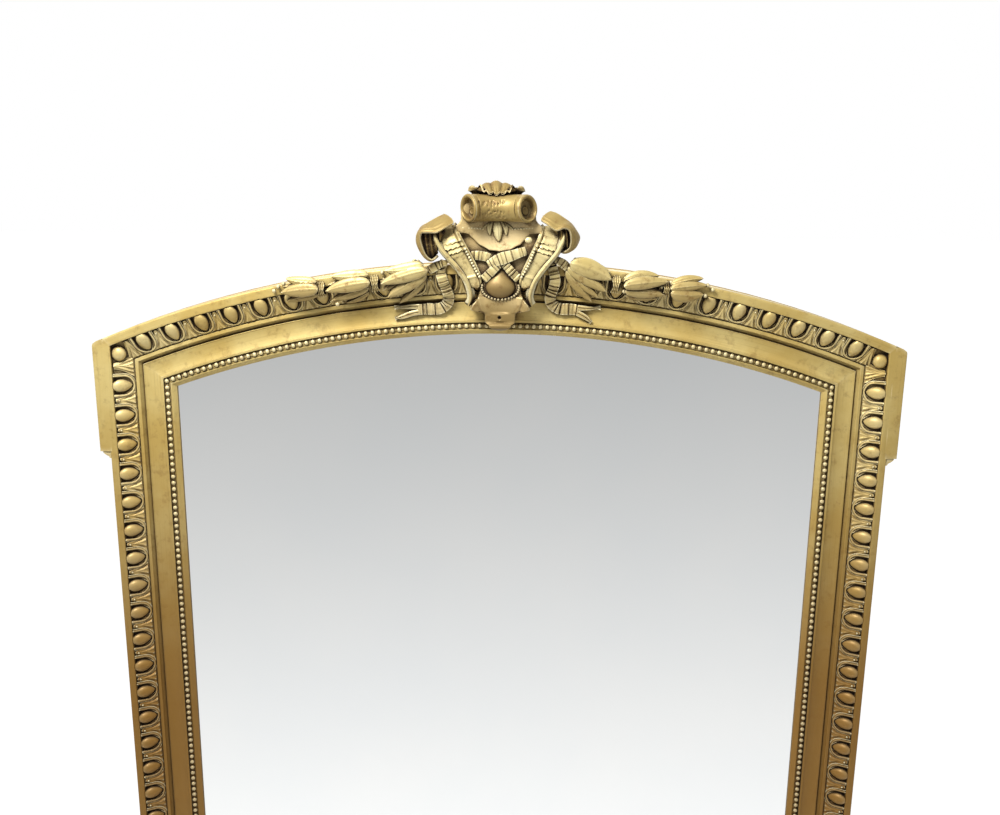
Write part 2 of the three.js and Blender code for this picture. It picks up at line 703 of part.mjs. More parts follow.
function plateGeometry() {
  const half = PLATE_WIDTH / 2;
  const bore = RING_WIRE_RADIUS + RUNNING_CLEARANCE;
  const knuckle = axisBar(bore + KNUCKLE_WALL, -half, half);
  const strip = new THREE.BoxGeometry(PLATE_WIDTH, PLATE_THICKNESS, PLATE_LENGTH);
  strip.translate(0, PLATE_FRONT + PLATE_THICKNESS / 2, PLATE_LENGTH / 2);
  let plate = joined([knuckle, strip]).subtract(solidOf(axisBar(bore, -PLATE_WIDTH, PLATE_WIDTH)));
  const below = new THREE.BoxGeometry(PLATE_WIDTH * 2, RECESS_DEPTH, PLATE_LENGTH);
  below.translate(0, PLATE_FRONT - RECESS_DEPTH / 2, 0);
  plate = plate.subtract(solidOf(below));
  for (const offset of Object.values(SCREW_OFFSETS)) {
    plate = plate.subtract(solidOf(screwGeometry(CLEARANCE, offset)));
  }
  return geometryOf(plate);
}

// A countersunk screw that points into the stile, drawn larger by a gap where it cuts its hole.
function screwGeometry(gap, offset) {
  const rear = PLATE_FRONT + PLATE_THICKNESS;
  const head = SCREW_HEAD_RADIUS + gap;
  const shank = SCREW_RADIUS + gap;
  const profile = [
    [head, rear + (gap > 0 ? PLATE_THICKNESS : 0)],
    [head, rear],
    [shank, rear - SCREW_HEAD_HEIGHT],
    [shank, rear - SCREW_LENGTH],
  ];
  const rings = profile.map(([radius, y]) => Array.from({ length: ROUND_SIDES }, (_, i) => {
    const angle = (2 * Math.PI * i) / ROUND_SIDES;
    return [Math.cos(angle) * radius, y, Math.sin(angle) * radius + offset];
  }));
  return loft(gap > 0 ? rings : rings.slice(1), fanFaces(ROUND_SIDES));
}

// A closed D-shaped ring: a straight bar on the axis, two corners and a half round below.
function ringGeometry() {
  const half = RING_BAR / 2;
  const wide = half + RING_BEND;
  const drop = RING_DROP - wide;
  const out = RING_BEND * RING_BEND_MIDDLE;
  const path = [[-half, 0], [half, 0], [half + out, out - RING_BEND], [wide, -RING_BEND]];
  for (let i = 0; i <= RING_ARC_STEPS; i += 1) {
    const angle = (Math.PI * i) / RING_ARC_STEPS;
    path.push([wide * Math.cos(angle), -drop - wide * Math.sin(angle)]);
  }
  path.push([-wide, -RING_BEND], [-half - out, out - RING_BEND]);
  const count = path.length;
  const points = [];
  const faces = [];
  for (let p = 0; p < count; p += 1) {
    const [x, z] = path[p];
    const before = path[(p + count - 1) % count];
    const after = path[(p + 1) % count];
    const run = new THREE.Vector2(after[0] - before[0], after[1] - before[1]).normalize();
    for (let i = 0; i < WIRE_SIDES; i += 1) {
      const angle = (2 * Math.PI * i) / WIRE_SIDES;
      const side = Math.cos(angle) * RING_WIRE_RADIUS;
      points.push([x - run.y * side, Math.sin(angle) * RING_WIRE_RADIUS, z + run.x * side]);
      const j = (i + 1) % WIRE_SIDES;
      const here = p * WIRE_SIDES;
      const next = ((p + 1) % count) * WIRE_SIDES;
      faces.push([here + i, here + j, next + j], [here + i, next + j, next + i]);
    }
  }
  return closedGeometry(points, faces);
}

function addHangers() {
  for (const [name, sign] of [['left', -1], ['right', 1]]) {
    const hanger = new THREE.Group();
    hanger.position.set(sign * hangerX(), depthY(RING_AXIS_DEPTH), HANGER_HEIGHT);
    model.add(hanger);
    addPart(`${name}_hanger_plate`, plateGeometry(), 'iron', hanger);
    addPart(`${name}_hanger_ring`, ringGeometry(), 'brass', hanger);
    for (const [place, offset] of Object.entries(SCREW_OFFSETS)) {
      addPart(`${name}_${place}_screw`, screwGeometry(0, offset), 'iron', hanger);
    }
  }
}

// ---------------------------------------------------------------------------------------------
// Crest. Places are [x, z] from the crown of the arch; f is the height in front of the lip's face.
// ---------------------------------------------------------------------------------------------

function crestPoint(x, z, f) {
  return [x, depthY(FRAME_DEPTH + f), FRAME_TOP + z];
}

function crestSlab(outline, back, front) {
  const placed = outline.map(([x, z]) => [x, FRAME_TOP + z]);
  return slab(placed, FRAME_DEPTH + back, FRAME_DEPTH + front);
}

function bothSides(half) {
  return [...half, ...half.map(([x, z]) => [-x, z]).reverse()];
}

// What the carving keeps clear of over the hollow and the sight edge.
const HOLLOW_GUARD = [[0.3, 1], [0.8, 1.6]];
const SIGHT_GUARD = 3;

// Everything that the arch's mouldings fill, drawn out by a joint line.
function mouldingSpace() {
  const gap = CREST_SEAT_GAP;
  const section = [
    [-gap * 2, -CUT_OVERRUN],
    [-gap * 2, FRAME_DEPTH + gap],
    [LIP_WIDTH + gap, FRAME_DEPTH + gap],
    ...STRIP_ROWS.slice(1).map((_, i) => [rowWidth(i + 1), stripTop(i + 1) + gap]),
    [EGG_BAND_END + CLEARANCE, TORUS_HEIGHT + gap],
    [TORUS_END, TORUS_HEIGHT + gap],
    ...HOLLOW_GUARD.map(([part, rise]) => [TORUS_END + part * HOLLOW_WIDTH, HOLLOW_HEIGHT + rise + gap]),
    [HOLLOW_END - gap * 2, INNER_FILLET_HEIGHT + gap],
    [INNER_FILLET_END, BEAD_BASE + BEAD_CROWN + gap],
    [CHANNEL_END, BEAD_BASE + BEAD_CROWN + gap],
    [SIGHT_EDGE + gap, SIGHT_EDGE_HEIGHT + SIGHT_GUARD],
    [SIGHT_EDGE + gap, -CUT_OVERRUN],
  ];
  return solidOf(mouldingGeometry('top', section));
}

const SHIELD_HALF = [
  [0, 70], [56, 70], [62, 45], [50, 5], [36, -30], [34, -44], [40, -58], [50, -73], [34, -79],
  [26, -77], [25, -94], [20, -99], [15, -105], [9, -108.5], [0, -109.5],
];
const BOSS = { x: 0, z: -37, width: 50, height: 40, relief: 13 };
const ARCH_SEAT = { half: 90, low: -12, high: 100 };
const BALL_SIDES = 10;
const BALL_RINGS = 6;

function ellipsoid(x, z, f, rx, rf, rz) {
  const profile = Array.from({ length: BALL_RINGS + 1 }, (_, i) => {
    const angle = -Math.PI / 2 + (Math.PI * i) / BALL_RINGS;
    return new THREE.Vector2(Math.max(0, Math.cos(angle)), Math.sin(angle));
  });
  const ball = new THREE.LatheGeometry(profile, BALL_SIDES);
  ball.rotateX(Math.PI / 2);
  ball.scale(rx, rf, rz);
  const [px, py, pz] = crestPoint(x, z, f);
  ball.translate(px, py, pz);
  return ball;
}

function addCartouche(space) {
  const field = PLATE_BACK + SHIELD_THICKNESS;
  const shield = crestSlab(bothSides(SHIELD_HALF), -FRAME_DEPTH / 2, field);
  const boss = ellipsoid(BOSS.x, BOSS.z, field, BOSS.width / 2, BOSS.relief, BOSS.height / 2);
  const { half, low, high } = ARCH_SEAT;
  const above = crestSlab([[-half, low], [half, low], [half, high], [-half, high]], -FRAME_DEPTH, PLATE_BACK);
  const cartouche = geometryOf(joined([shield, boss]).subtract(space).subtract(solidOf(above)));
  addPart('cartouche', cartouche, 'gilding');
  return cartouche;
}

const BOARD_HALF = [[56, 0], [60, 40], [56, 72], [56, 98], [44, 108], [0, 112]];

function addCrestBoard() {
  const seat = (x) => archHeightAt(x) + CREST_BOARD_SEAT - FRAME_TOP;
  const bottom = [];
  const end = BOARD_HALF[0][0];
  for (let i = 0; i <= CREST_BOARD_STEPS; i += 1) {
    const x = -end + (2 * end * i) / CREST_BOARD_STEPS;
    bottom.push([x, seat(x)]);
  }
  const right = BOARD_HALF.slice(1);
  const left = right.slice(0, -1).map(([x, z]) => [-x, z]).reverse();
  const front = PLATE_BACK - CLEARANCE;
  const board = crestSlab([...bottom, ...right, ...left], CREST_BOARD_BACK - FRAME_DEPTH, front);
  addPart('crest_board', board, 'gilding');
  return board;
}

const SCROLL = { reach: 60, z: 91.5, f: 24, radius: 21, bow: 15, flare: 0.08, steps: 8 };

function addTopScroll(neighbours) {
  const rings = [];
  for (let i = 0; i <= SCROLL.steps; i += 1) {
    const part = (2 * i) / SCROLL.steps - 1;
    const x = part * SCROLL.reach;
    const f = SCROLL.f + SCROLL.bow * part * part;
    const slope = (2 * SCROLL.bow * part) / SCROLL.reach;
    const run = Math.hypot(1, slope);
    const radius = SCROLL.radius * (1 + SCROLL.flare * part * part);
    rings.push(Array.from({ length: ROUND_SIDES }, (_, k) => {
      const angle = (2 * Math.PI * k) / ROUND_SIDES;
      const out = Math.cos(angle) * radius;
      return crestPoint(x - (out * slope) / run, SCROLL.z + Math.sin(angle) * radius, f + out / run);
    }));
  }
  const scroll = fitted(loft(rings, fanFaces(ROUND_SIDES)), neighbours);
  addPart('top_scroll', scroll, 'gilding');
  return scroll;
}

const LEAF = { half: 48, base: 104, back: -9, front: 30, thickness: 5, root: 8, steps: 20 };
// The leaf's flutes, and the shares of its height and reach that set its rolled edge.
const LEAF_FLUTES = { count: 5, rise: 0.18, reach: 0.14, shoulder: 0.55, end: 0.2 };
const LEAF_ROLL = { crown: 0.35, droop: 0.18, belly: 0.5, lean: 1 };

// A cupped leaf: a fan of lobes that rises from the scroll and rolls forward.
function leafSection(part) {
  const flute = 0.5 + 0.5 * Math.cos(part * Math.PI * LEAF_FLUTES.count);
  const fade = Math.max(LEAF_FLUTES.end, Math.sqrt(Math.max(0, 1 - part * part)));
  const rise = CREST_HEIGHT - LEAF.base;
  const swell = fade * (1 - LEAF_FLUTES.rise + LEAF_FLUTES.rise * flute);
  const top = LEAF.base + rise * (LEAF_FLUTES.shoulder + (1 - LEAF_FLUTES.shoulder) * swell);
  const reach = LEAF.front * fade * (1 - LEAF_FLUTES.reach + LEAF_FLUTES.reach * flute);
  const edge = top - rise * LEAF_ROLL.droop;
  return [
    [LEAF.back, LEAF.base],
    [LEAF.back + LEAF_ROLL.lean, LEAF.base + (top - LEAF.base) * LEAF_ROLL.belly],
    [reach * LEAF_ROLL.crown, top],
    [reach, edge],
    [reach - LEAF_ROLL.lean, edge - LEAF.thickness],
    [reach * LEAF_ROLL.crown, top - LEAF.thickness],
    [LEAF.back + LEAF.root, LEAF.base],
  ];
}

function addShellLeaf(neighbours) {
  const rings = Array.from({ length: LEAF.steps + 1 }, (_, i) => {
    const part = (2 * i) / LEAF.steps - 1;
    return leafSection(part).map(([f, z]) => crestPoint(part * LEAF.half, z, f));
  });
  const outline = rings[0].map(([, y, z]) => [y, z]);
  addPart('shell_leaf', fitted(loft(rings, outlineFaces(outline)), neighbours), 'gilding');
}

// A band run along places { x, z, f, width, tilt }: tilt 0 faces the front, 90 lies edge on.
function bandGeometry(places, thickness) {
  const rings = places.map(({ x, z, f, width, tilt }, i) => {
    const before = places[Math.max(0, i - 1)];
    const after = places[Math.min(places.length - 1, i + 1)];
    const run = new THREE.Vector3(after.x - before.x, before.f - after.f, after.z - before.z).normalize();
    const lean = THREE.MathUtils.degToRad(tilt);
    const flat = new THREE.Vector3(run.z, 0, -run.x).normalize();
    const across = flat.multiplyScalar(Math.cos(lean)).add(new THREE.Vector3(0, -Math.sin(lean), 0));
    across.addScaledVector(run, -across.dot(run)).normalize();
    const up = new THREE.Vector3().crossVectors(run, across);
    const [px, py, pz] = crestPoint(x, z, f);
    const corners = [[-1, -1], [1, -1], [1, 1], [-1, 1]];
    return corners.map(([a, b]) => {
      const side = (a * width) / 2;
      const rise = (b * thickness) / 2;
      return [
        px + across.x * side + up.x * rise,
        py + across.y * side + up.y * rise,
        pz + across.z * side + up.z * rise,
      ];
    });
  });
  return loft(rings, fanFaces(4));
}

function place(x, z, f, width, tilt = 0) {
  return { x, z, f, width, tilt };
}

const FIELD = PLATE_BACK + SHIELD_THICKNESS;
const STRAP_THICKNESS = 8;
const STRAP_SEAT = FIELD + CLEARANCE + STRAP_THICKNESS / 2;
const STRAP_PATH = [
  place(84, 68, STRAP_SEAT + 14, 32),
  place(82, 48, STRAP_SEAT + 10, 40),
  place(68, 20, STRAP_SEAT + 3, 40),
  place(54, -5, STRAP_SEAT, 32),
  place(41, -30, STRAP_SEAT, 25),
  place(38, -50, STRAP_SEAT, 17),
  place(41, -72, STRAP_SEAT, 20),
];
const LOOP_THICKNESS = 5;
const LOOP_PATH = [
  place(74, 71, 32, 26, 62),
  place(93, 80, 32, 26, 62),
  place(118, 65, 27, 26, 62),
  place(129, 46, 24, 24, 58),
  place(122, 26, 22, 22, 58),
  place(107, 24, 22, 20, 58),
];
const TAIL_THICKNESS = 4;
const TAIL_PATH = [
  place(84, 8, 5, 15),
  place(89, -14, 5, 16),
  place(91, -34, 2.6, 17),
  place(86, -54, -13, 18),
  place(93, -73, -19, 19),
  place(112, -77, -21, 19),
  place(138, -77, -21, 18),
  place(165, -80, -21, 24),
];
const SWAG_THICKNESS = 6;
const SWAG_SEAT = FIELD + CLEARANCE + SWAG_THICKNESS / 2;
const SWAG_PATH = [
  place(-36, 14, SWAG_SEAT, 15),
  place(-18, 4, SWAG_SEAT + 1, 15),
  place(0, 1, SWAG_SEAT + 3, 17),
  place(16, 10, SWAG_SEAT + 1, 18),
  place(30, 16, SWAG_SEAT, 15),
];

function addRibbons(space, shield, scroll) {
  const strap = fitted(bandGeometry(STRAP_PATH, STRAP_THICKNESS), [shield, scroll], [space]);
  addPair('strap', strap, 'gilding');
  const loop = fitted(bandGeometry(LOOP_PATH, LOOP_THICKNESS), [strap, scroll]);
  addPair('ribbon_loop', loop, 'gilding');
  const tail = fitted(bandGeometry(TAIL_PATH, TAIL_THICKNESS), [strap, loop], [space]);
  addPair('ribbon_tail', tail, 'gilding');
  const swag = fitted(bandGeometry(SWAG_PATH, SWAG_THICKNESS), [strap, mirrored(strap), shield]);
  addPart('ribbon_swag', swag, 'gilding');
  return [strap, loop, tail];
}

const HUSK = { z: 57, width: 16, height: 34, relief: 9 };

function addHusk(neighbours) {
  const bud = ellipsoid(0, HUSK.z, FIELD, HUSK.width / 2, HUSK.relief, HUSK.height / 2);
  addPart('husk_pendant', fitted(bud, neighbours), 'gilding');
}

// ---------------------------------------------------------------------------------------------
// Laurel garland: bundles of pointed leaves on a stem, laid on the lip
// ---------------------------------------------------------------------------------------------

const LEAF_SIDES = 6;
const LEAF_STATIONS = [[0, 0.12], [0.2, 0.72], [0.5, 1], [0.8, 0.66], [1, 0.06]];

// A leaf that starts at [x, z], points along an angle and swells to its width and thickness.
function laurelLeaf(x, z, f, length, width, thickness, angle, lift) {
  const rings = LEAF_STATIONS.map(([part, share]) => {
    const along = part * length;
    const cx = x + Math.cos(angle) * along;
    const cz = z + Math.sin(angle) * along;
    const cf = f + lift * Math.sin(part * Math.PI);
    return Array.from({ length: LEAF_SIDES }, (_, i) => {
      const turn = (2 * Math.PI * i) / LEAF_SIDES;
      const side = Math.cos(turn) * share * width * 0.5;
      const rise = Math.sin(turn) * share * thickness * 0.5;
      return crestPoint(cx - Math.sin(angle) * side, cz + Math.cos(angle) * side, cf + rise);
    });
  });
  return loft(rings, fanFaces(LEAF_SIDES));
}

// Each bundle: its stem end and its tip along the arch, how far it lies from the lip's edge, and its width.
const LAUREL_BUNDLES = [
  { start: 113, length: 70, drop: 22, width: 46 },
  { start: 200, length: 66, drop: 20, width: 36 },
  { start: 277, length: 62, drop: 21, width: 32 },
];
// Each leaf: its side of the stem, how far along the bundle it starts, its length and how much it bows out.
const BUNDLE_LEAVES = [
  [-0.42, 0.0, 0.86, 5],
  [0.42, 0.0, 0.86, 5],
  [-0.2, 0.12, 0.88, 8],
  [0.2, 0.12, 0.88, 8],
  [0, 0.02, 0.96, 10],
];
const LAUREL_LEAF = { spread: 0.42, width: 0.5, thickness: 15, fan: 0.3, f: 7 };
const LAUREL_CORE = { length: 0.9, width: 0.7, thickness: 22, f: 3 };

function laurelGeometry({ start, length, drop, width }, neighbours, space) {
  const radius = ARCH_RADIUS - drop;
  const angle = start / radius;
  const stemX = Math.sin(angle) * radius;
  const stemZ = ARCH_CENTRE + Math.cos(angle) * radius - FRAME_TOP;
  const heading = -(start + length / 2) / radius;
  const leaves = BUNDLE_LEAVES.map(([spread, offset, share, lift]) => {
    const along = offset * length;
    const aside = spread * width * LAUREL_LEAF.spread;
    const x = stemX + Math.cos(heading) * along - Math.sin(heading) * aside;
    const z = stemZ + Math.sin(heading) * along + Math.cos(heading) * aside;
    const turn = heading + spread * LAUREL_LEAF.fan;
    const size = [length * share, width * LAUREL_LEAF.width, LAUREL_LEAF.thickness];
    return laurelLeaf(x, z, LAUREL_LEAF.f, ...size, turn, lift);
  });
  const size = [length * LAUREL_CORE.length, width * LAUREL_CORE.width, LAUREL_CORE.thickness];
  const core = laurelLeaf(stemX, stemZ, LAUREL_CORE.f, ...size, heading, 0);
  return fitted(geometryOf(joined([core, ...leaves])), neighbours, [space]);
}

function addLaurels(space, ribbons) {
  const neighbours = [...ribbons];
  LAUREL_BUNDLES.forEach((bundle, i) => {
    const geometry = laurelGeometry(bundle, neighbours, space);
    addPart(`laurel_left_${i + 1}`, mirrored(geometry), 'gilding');
    addPart(`laurel_right_${i + 1}`, geometry, 'gilding');
    neighbours.push(geometry);
  });
}

// ---------------------------------------------------------------------------------------------
// Assembly
// ---------------------------------------------------------------------------------------------

addCarcass();
addMouldings();
addEars();
addGlass();
addBack();
addHangers();
const crestSpace = mouldingSpace();
const crestBoard = addCrestBoard();
const cartouche = addCartouche(crestSpace);
const topScroll = addTopScroll([crestBoard, cartouche]);
addShellLeaf([crestBoard, topScroll]);
addHusk([cartouche, topScroll]);
const ribbons = addRibbons(crestSpace, cartouche, topScroll);
addLaurels(crestSpace, ribbons);

export default model;
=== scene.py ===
# %% [markdown]
# # A gilded overmantel mirror
# The object is a tall pier or overmantel glass: a pine frame with mitred mouldings, an
# arched top with small ears at its shoulders, strings of egg-and-dart and beads pressed in
# composition, and a carved crest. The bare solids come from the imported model. This lesson
# dresses them: fine meshes take the place of the coarse solids, and every surface gets a
# finish made of shader nodes.

import bpy
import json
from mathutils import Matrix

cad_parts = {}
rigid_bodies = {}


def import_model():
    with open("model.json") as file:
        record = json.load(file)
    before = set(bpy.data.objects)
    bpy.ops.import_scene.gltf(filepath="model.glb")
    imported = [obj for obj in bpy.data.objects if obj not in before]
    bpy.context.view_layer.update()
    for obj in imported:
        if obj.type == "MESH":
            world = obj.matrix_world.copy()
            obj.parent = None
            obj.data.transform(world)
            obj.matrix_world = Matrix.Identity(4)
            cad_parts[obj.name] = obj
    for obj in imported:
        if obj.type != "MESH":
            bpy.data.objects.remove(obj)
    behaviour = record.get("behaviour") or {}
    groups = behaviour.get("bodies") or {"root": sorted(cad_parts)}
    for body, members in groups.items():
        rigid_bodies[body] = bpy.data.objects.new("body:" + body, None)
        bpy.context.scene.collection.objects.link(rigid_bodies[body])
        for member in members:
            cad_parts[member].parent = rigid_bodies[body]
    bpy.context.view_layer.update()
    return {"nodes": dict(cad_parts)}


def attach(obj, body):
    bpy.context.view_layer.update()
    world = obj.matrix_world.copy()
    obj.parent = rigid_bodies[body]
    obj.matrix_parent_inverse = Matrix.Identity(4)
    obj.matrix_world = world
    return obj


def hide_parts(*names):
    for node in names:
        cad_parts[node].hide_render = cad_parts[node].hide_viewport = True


for old in list(bpy.data.objects):
    bpy.data.objects.remove(old)
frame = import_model()

# %% [markdown]
# ## Measures
# Frame makers think in millimetres, and Blender in metres, so all sizes here are in
# millimetres and are turned into metres when a mesh is made. A place on the frame is given
# as x, z, and h, the height above the back face. In the crest, f is the distance in front
# of the lip, which is the highest flat of the moulding.

# %% Sizes of the frame
import math

import numpy as np
from mathutils import Matrix, Vector

MM = 0.001
HALF_WIDTH = 667
FRAME_TOP = 1695
ARCH_RADIUS = 1765
ARCH_CENTRE = FRAME_TOP - ARCH_RADIUS
DEPTH = 66
BACK = DEPTH / 2


def y_of(h):
    """Blender's Y for a height above the back face."""
    return BACK - h


def front(x, z, f):
    """Points of the crest, measured from the arch's crown and the face of the lip."""
    x, z, f = np.broadcast_arrays(*[np.asarray(v, float) for v in (x, z, f)])
    return np.stack([x, y_of(DEPTH + f), FRAME_TOP + z], -1)


print("frame", 2 * HALF_WIDTH, "wide and", FRAME_TOP, "high to the crown")

# %% [markdown]
# ## From patches to a mesh
# A carver's block has no loose skin, and a mesh shouldn't either. Where patches meet, their
# points are welded, faces without area are dropped, and all faces are turned outward, so
# that Blender shades the piece as one body. The bmesh module does the three in one go,
# with no need to enter edit mode.

# %% Weld a mesh and turn its faces out
import bmesh


def weld(mesh):
    """Joins points that lie together, drops empty faces and turns all faces outward."""
    bm = bmesh.new()
    bm.from_mesh(mesh)
    bmesh.ops.remove_doubles(bm, verts=bm.verts, dist=0.00002)
    bmesh.ops.dissolve_degenerate(bm, edges=bm.edges, dist=0.00001)
    bmesh.ops.recalc_face_normals(bm, faces=bm.faces)
    bm.to_mesh(mesh)
    bm.free()


print("points closer than 0.02 mm are joined")

# %% [markdown]
# A piece is gathered from patches before its mesh is made. A patch is a grid of points,
# which may close round like a tube, and may be capped. Thin things such as leaves and
# ribbons are grids that get a second skin, so that everything here is a body with two
# sides and no loose sheet of faces. Each point also keeps its lay, which is its place
# along, across and above the run of its moulding, for finishes that follow the run.

# %% Gather patches into a piece
class Work:
    """Points and faces of one piece while it is being built."""

    def __init__(self):
        self.points = []
        self.faces = []
        self.lay = []
        self.count = 0

    def grid(self, rows, round_=False, caps=False, lay=None):
        """Rows of points joined by faces; round_ joins the ends of each row."""
        rows = np.asarray(rows, float)
        n, m = rows.shape[:2]
        start = self.count
        self.points.append(rows.reshape(-1, 3))
        self.lay.append(np.asarray(rows if lay is None else lay, float).reshape(-1, 3))
        self.count += n * m
        index = start + np.arange(n * m).reshape(n, m)
        ahead = np.roll(index, -1, axis=1)
        last = m if round_ else m - 1
        quads = np.stack([index[:-1, :last], ahead[:-1, :last], ahead[1:, :last], index[1:, :last]], -1)
        self.faces.extend(quads.reshape(-1, 4).tolist())
        if caps:
            self.faces.append(index[0, ::-1].tolist())
            self.faces.append(index[-1].tolist())

    def shell(self, rows, thickness):
        """A grid with a second skin behind it and its four edges closed."""
        rows = np.asarray(rows, float)
        normal = np.cross(np.gradient(rows, axis=0), np.gradient(rows, axis=1))
        normal /= np.linalg.norm(normal, axis=2, keepdims=True) + 1e-9
        behind = rows - normal * thickness
        self.grid(np.concatenate([rows, behind[:, ::-1]], axis=1), round_=True, caps=True)

    def ball(self, centre, radii, around=14, along=9):
        """An egg-shaped ball with its poles above and below."""
        lat = np.linspace(-np.pi / 2, np.pi / 2, along)
        lon = np.linspace(0, 2 * np.pi, around, endpoint=False)
        unit = np.stack([
            np.cos(lat)[:, None] * np.cos(lon)[None],
            np.cos(lat)[:, None] * np.sin(lon)[None],
            np.repeat(np.sin(lat)[:, None], around, 1),
        ], -1)
        points = unit * np.asarray(radii, float)
        self.grid(points[::-1] + np.asarray(centre, float), round_=True)

    def piece(self, name, sharp):
        """The mesh, smooth but for edges that bend by more than sharp degrees."""
        mesh = bpy.data.meshes.new(name)
        mesh.from_pydata((np.concatenate(self.points) * MM).tolist(), [], self.faces)
        lay = mesh.attributes.new("lay", "FLOAT_VECTOR", "POINT")
        lay.data.foreach_set("vector", (np.concatenate(self.lay) * MM).astype(np.float32).ravel())
        thing = bpy.data.objects.new(name, mesh)
        bpy.context.scene.collection.objects.link(thing)
        weld(mesh)
        mesh.shade_smooth()
        mesh.set_sharp_from_angle(angle=math.radians(sharp))
        return thing


def settle(work, name, material, replaces=(), sharp=38, body="frame"):
    """Makes the piece, gives it its finish, and sets it on its body in place of the solids."""
    thing = work.piece(name, sharp)
    thing.data.materials.append(material)
    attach(thing, body)
    if replaces:
        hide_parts(*replaces)
    print(name, len(thing.data.vertices), "points")
    return thing


# %% [markdown]
# ## Writing shader nodes as sums
# A finish is easier to read as arithmetic than as a web of links. The small class below
# stands for one output of a node. Adding or multiplying it adds the Math node that does
# it, also when the plain number comes first, as in 1 - mask.

# %% A socket that can be added and multiplied
def arithmetic(operation, number_first=False):
    """What an operator does: it adds a Math node with both values in their order."""
    def add_node(self, other):
        pair = (other, self) if number_first else (self, other)
        return self.nodes.node("ShaderNodeMath", {"operation": operation}, dict(enumerate(pair)))
    return add_node


class Shade:
    """One output socket of a node. Arithmetic on it adds Math nodes."""

    def __init__(self, nodes, socket):
        self.nodes = nodes
        self.socket = socket

    __add__, __radd__ = arithmetic("ADD"), arithmetic("ADD", True)
    __sub__, __rsub__ = arithmetic("SUBTRACT"), arithmetic("SUBTRACT", True)
    __mul__, __rmul__ = arithmetic("MULTIPLY"), arithmetic("MULTIPLY", True)
    __truediv__, __rtruediv__ = arithmetic("DIVIDE"), arithmetic("DIVIDE", True)


print("sums on sockets: add, subtract, multiply and divide")

# %% [markdown]
# A material and the world both hold a node tree with one shader in it. Every other node is
# added by one method, which takes the node's type, its settings, and what its sockets hold
# or are linked to. The methods after it are the few patterns that gilding, wood and metal
# all need: a colour mixed from two, a soft step, noise, and the point's place.

# %% A node tree and the one way nodes are added to it
class Nodes:
    """A node tree and its shader."""

    def __init__(self, tree, shader):
        self.tree = tree
        self.shader = tree.nodes[shader]

    def node(self, kind, settings=None, sockets=None, output=0):
        made = self.tree.nodes.new(kind)
        for name, value in (settings or {}).items():
            setattr(made, name, value)
        for key, value in (sockets or {}).items():
            self.feed(made.inputs[key], value)
        return Shade(self, made.outputs[output])

    def feed(self, socket, value):
        """Links a shade to a socket, or sets a plain value on it."""
        if isinstance(value, Shade):
            self.tree.links.new(value.socket, socket)
        else:
            socket.default_value = value

    def mix(self, factor, first, second):
        """A colour between two colours."""
        return self.node("ShaderNodeMix", {"data_type": "RGBA"}, {0: factor, 6: first, 7: second}, 2)

    def steps(self, value, low, high):
        """0 below low, 1 above high and smooth between."""
        settings = {"interpolation_type": "SMOOTHSTEP"}
        return self.node("ShaderNodeMapRange", settings, {0: value, 1: low, 2: high, 3: 0.0, 4: 1.0})

    def noise(self, place, scale, detail=4.0, roughness=0.55, stretch=(1, 1, 1)):
        """Soft noise from 0 to 1; the axis with the smallest stretch is the long way of it."""
        if stretch != (1, 1, 1):
            place = self.node("ShaderNodeMapping", {}, {"Vector": place, "Scale": stretch})
        sockets = {"Vector": place, "Scale": scale, "Detail": detail, "Roughness": roughness}
        return self.node("ShaderNodeTexNoise", {}, sockets, "Fac")

    def openness(self, reach, samples):
        """From 1 in the open to 0 where things within reach, in metres, shut a point in."""
        return self.node("ShaderNodeAmbientOcclusion", {"samples": samples}, {"Distance": reach}, "AO")

    def bump(self, relief, strength, distance):
        """The normal of a surface with a fine relief."""
        sockets = {"Strength": strength, "Distance": distance, "Height": relief}
        return self.node("ShaderNodeBump", {}, sockets, "Normal")

    def part(self, vector, axis):
        return self.node("ShaderNodeSeparateXYZ", {}, {0: vector}, axis)

    def place(self):
        """Where the point is on the object, in metres."""
        return self.node("ShaderNodeTexCoord", {}, {}, "Object")

    def lay(self):
        """Along, across and above the piece's own run, stored with its mesh."""
        return self.node("ShaderNodeAttribute", {"attribute_name": "lay"}, {}, "Vector")


class Finish(Nodes):
    """A material with its Principled shader; what is the same all over is set at once."""

    def __init__(self, name, **constants):
        self.material = bpy.data.materials.new(name)
        self.material.use_nodes = True
        super().__init__(self.material.node_tree, "Principled BSDF")
        self.surface(**constants)

    def surface(self, **sockets):
        for name, value in sockets.items():
            self.feed(self.shader.inputs[name.replace("_", " ")], value)
        return self.material


def rgb(code):
    """A colour written as six hex digits, as light values that Blender mixes."""
    parts = [int(code[i : i + 2], 16) / 255 for i in (0, 2, 4)]
    linear = [p / 12.92 if p <= 0.04045 else ((p + 0.055) / 1.055) ** 2.4 for p in parts]
    return (*linear, 1.0)


print("gold leaf as light values", rgb("d8c27e"))

# %% [markdown]
# ## Gilding
# Water gilding is gold leaf on red clay, called bole, over white gesso. Old gilding is not
# one colour: it is worn in flecks, and on sharp edges the red clay shows. Light and shade
# are also painted into the colour: the hollows get grime and painted shade, darkest in
# their depths, the whole goes darker and browner towards the bottom as painted shade, and
# sharp edges get a painted highlight. Where light can't get in is found with ambient
# occlusion, and how sharply a surface bends with the mesh's pointiness. Both are true of
# the object from any side, so the finish doesn't change with the camera.

# %% The gilding recipe
# How much further the wide, soft painted shade reaches than the grime and painted shade.
SOFT_REACH = 3.5


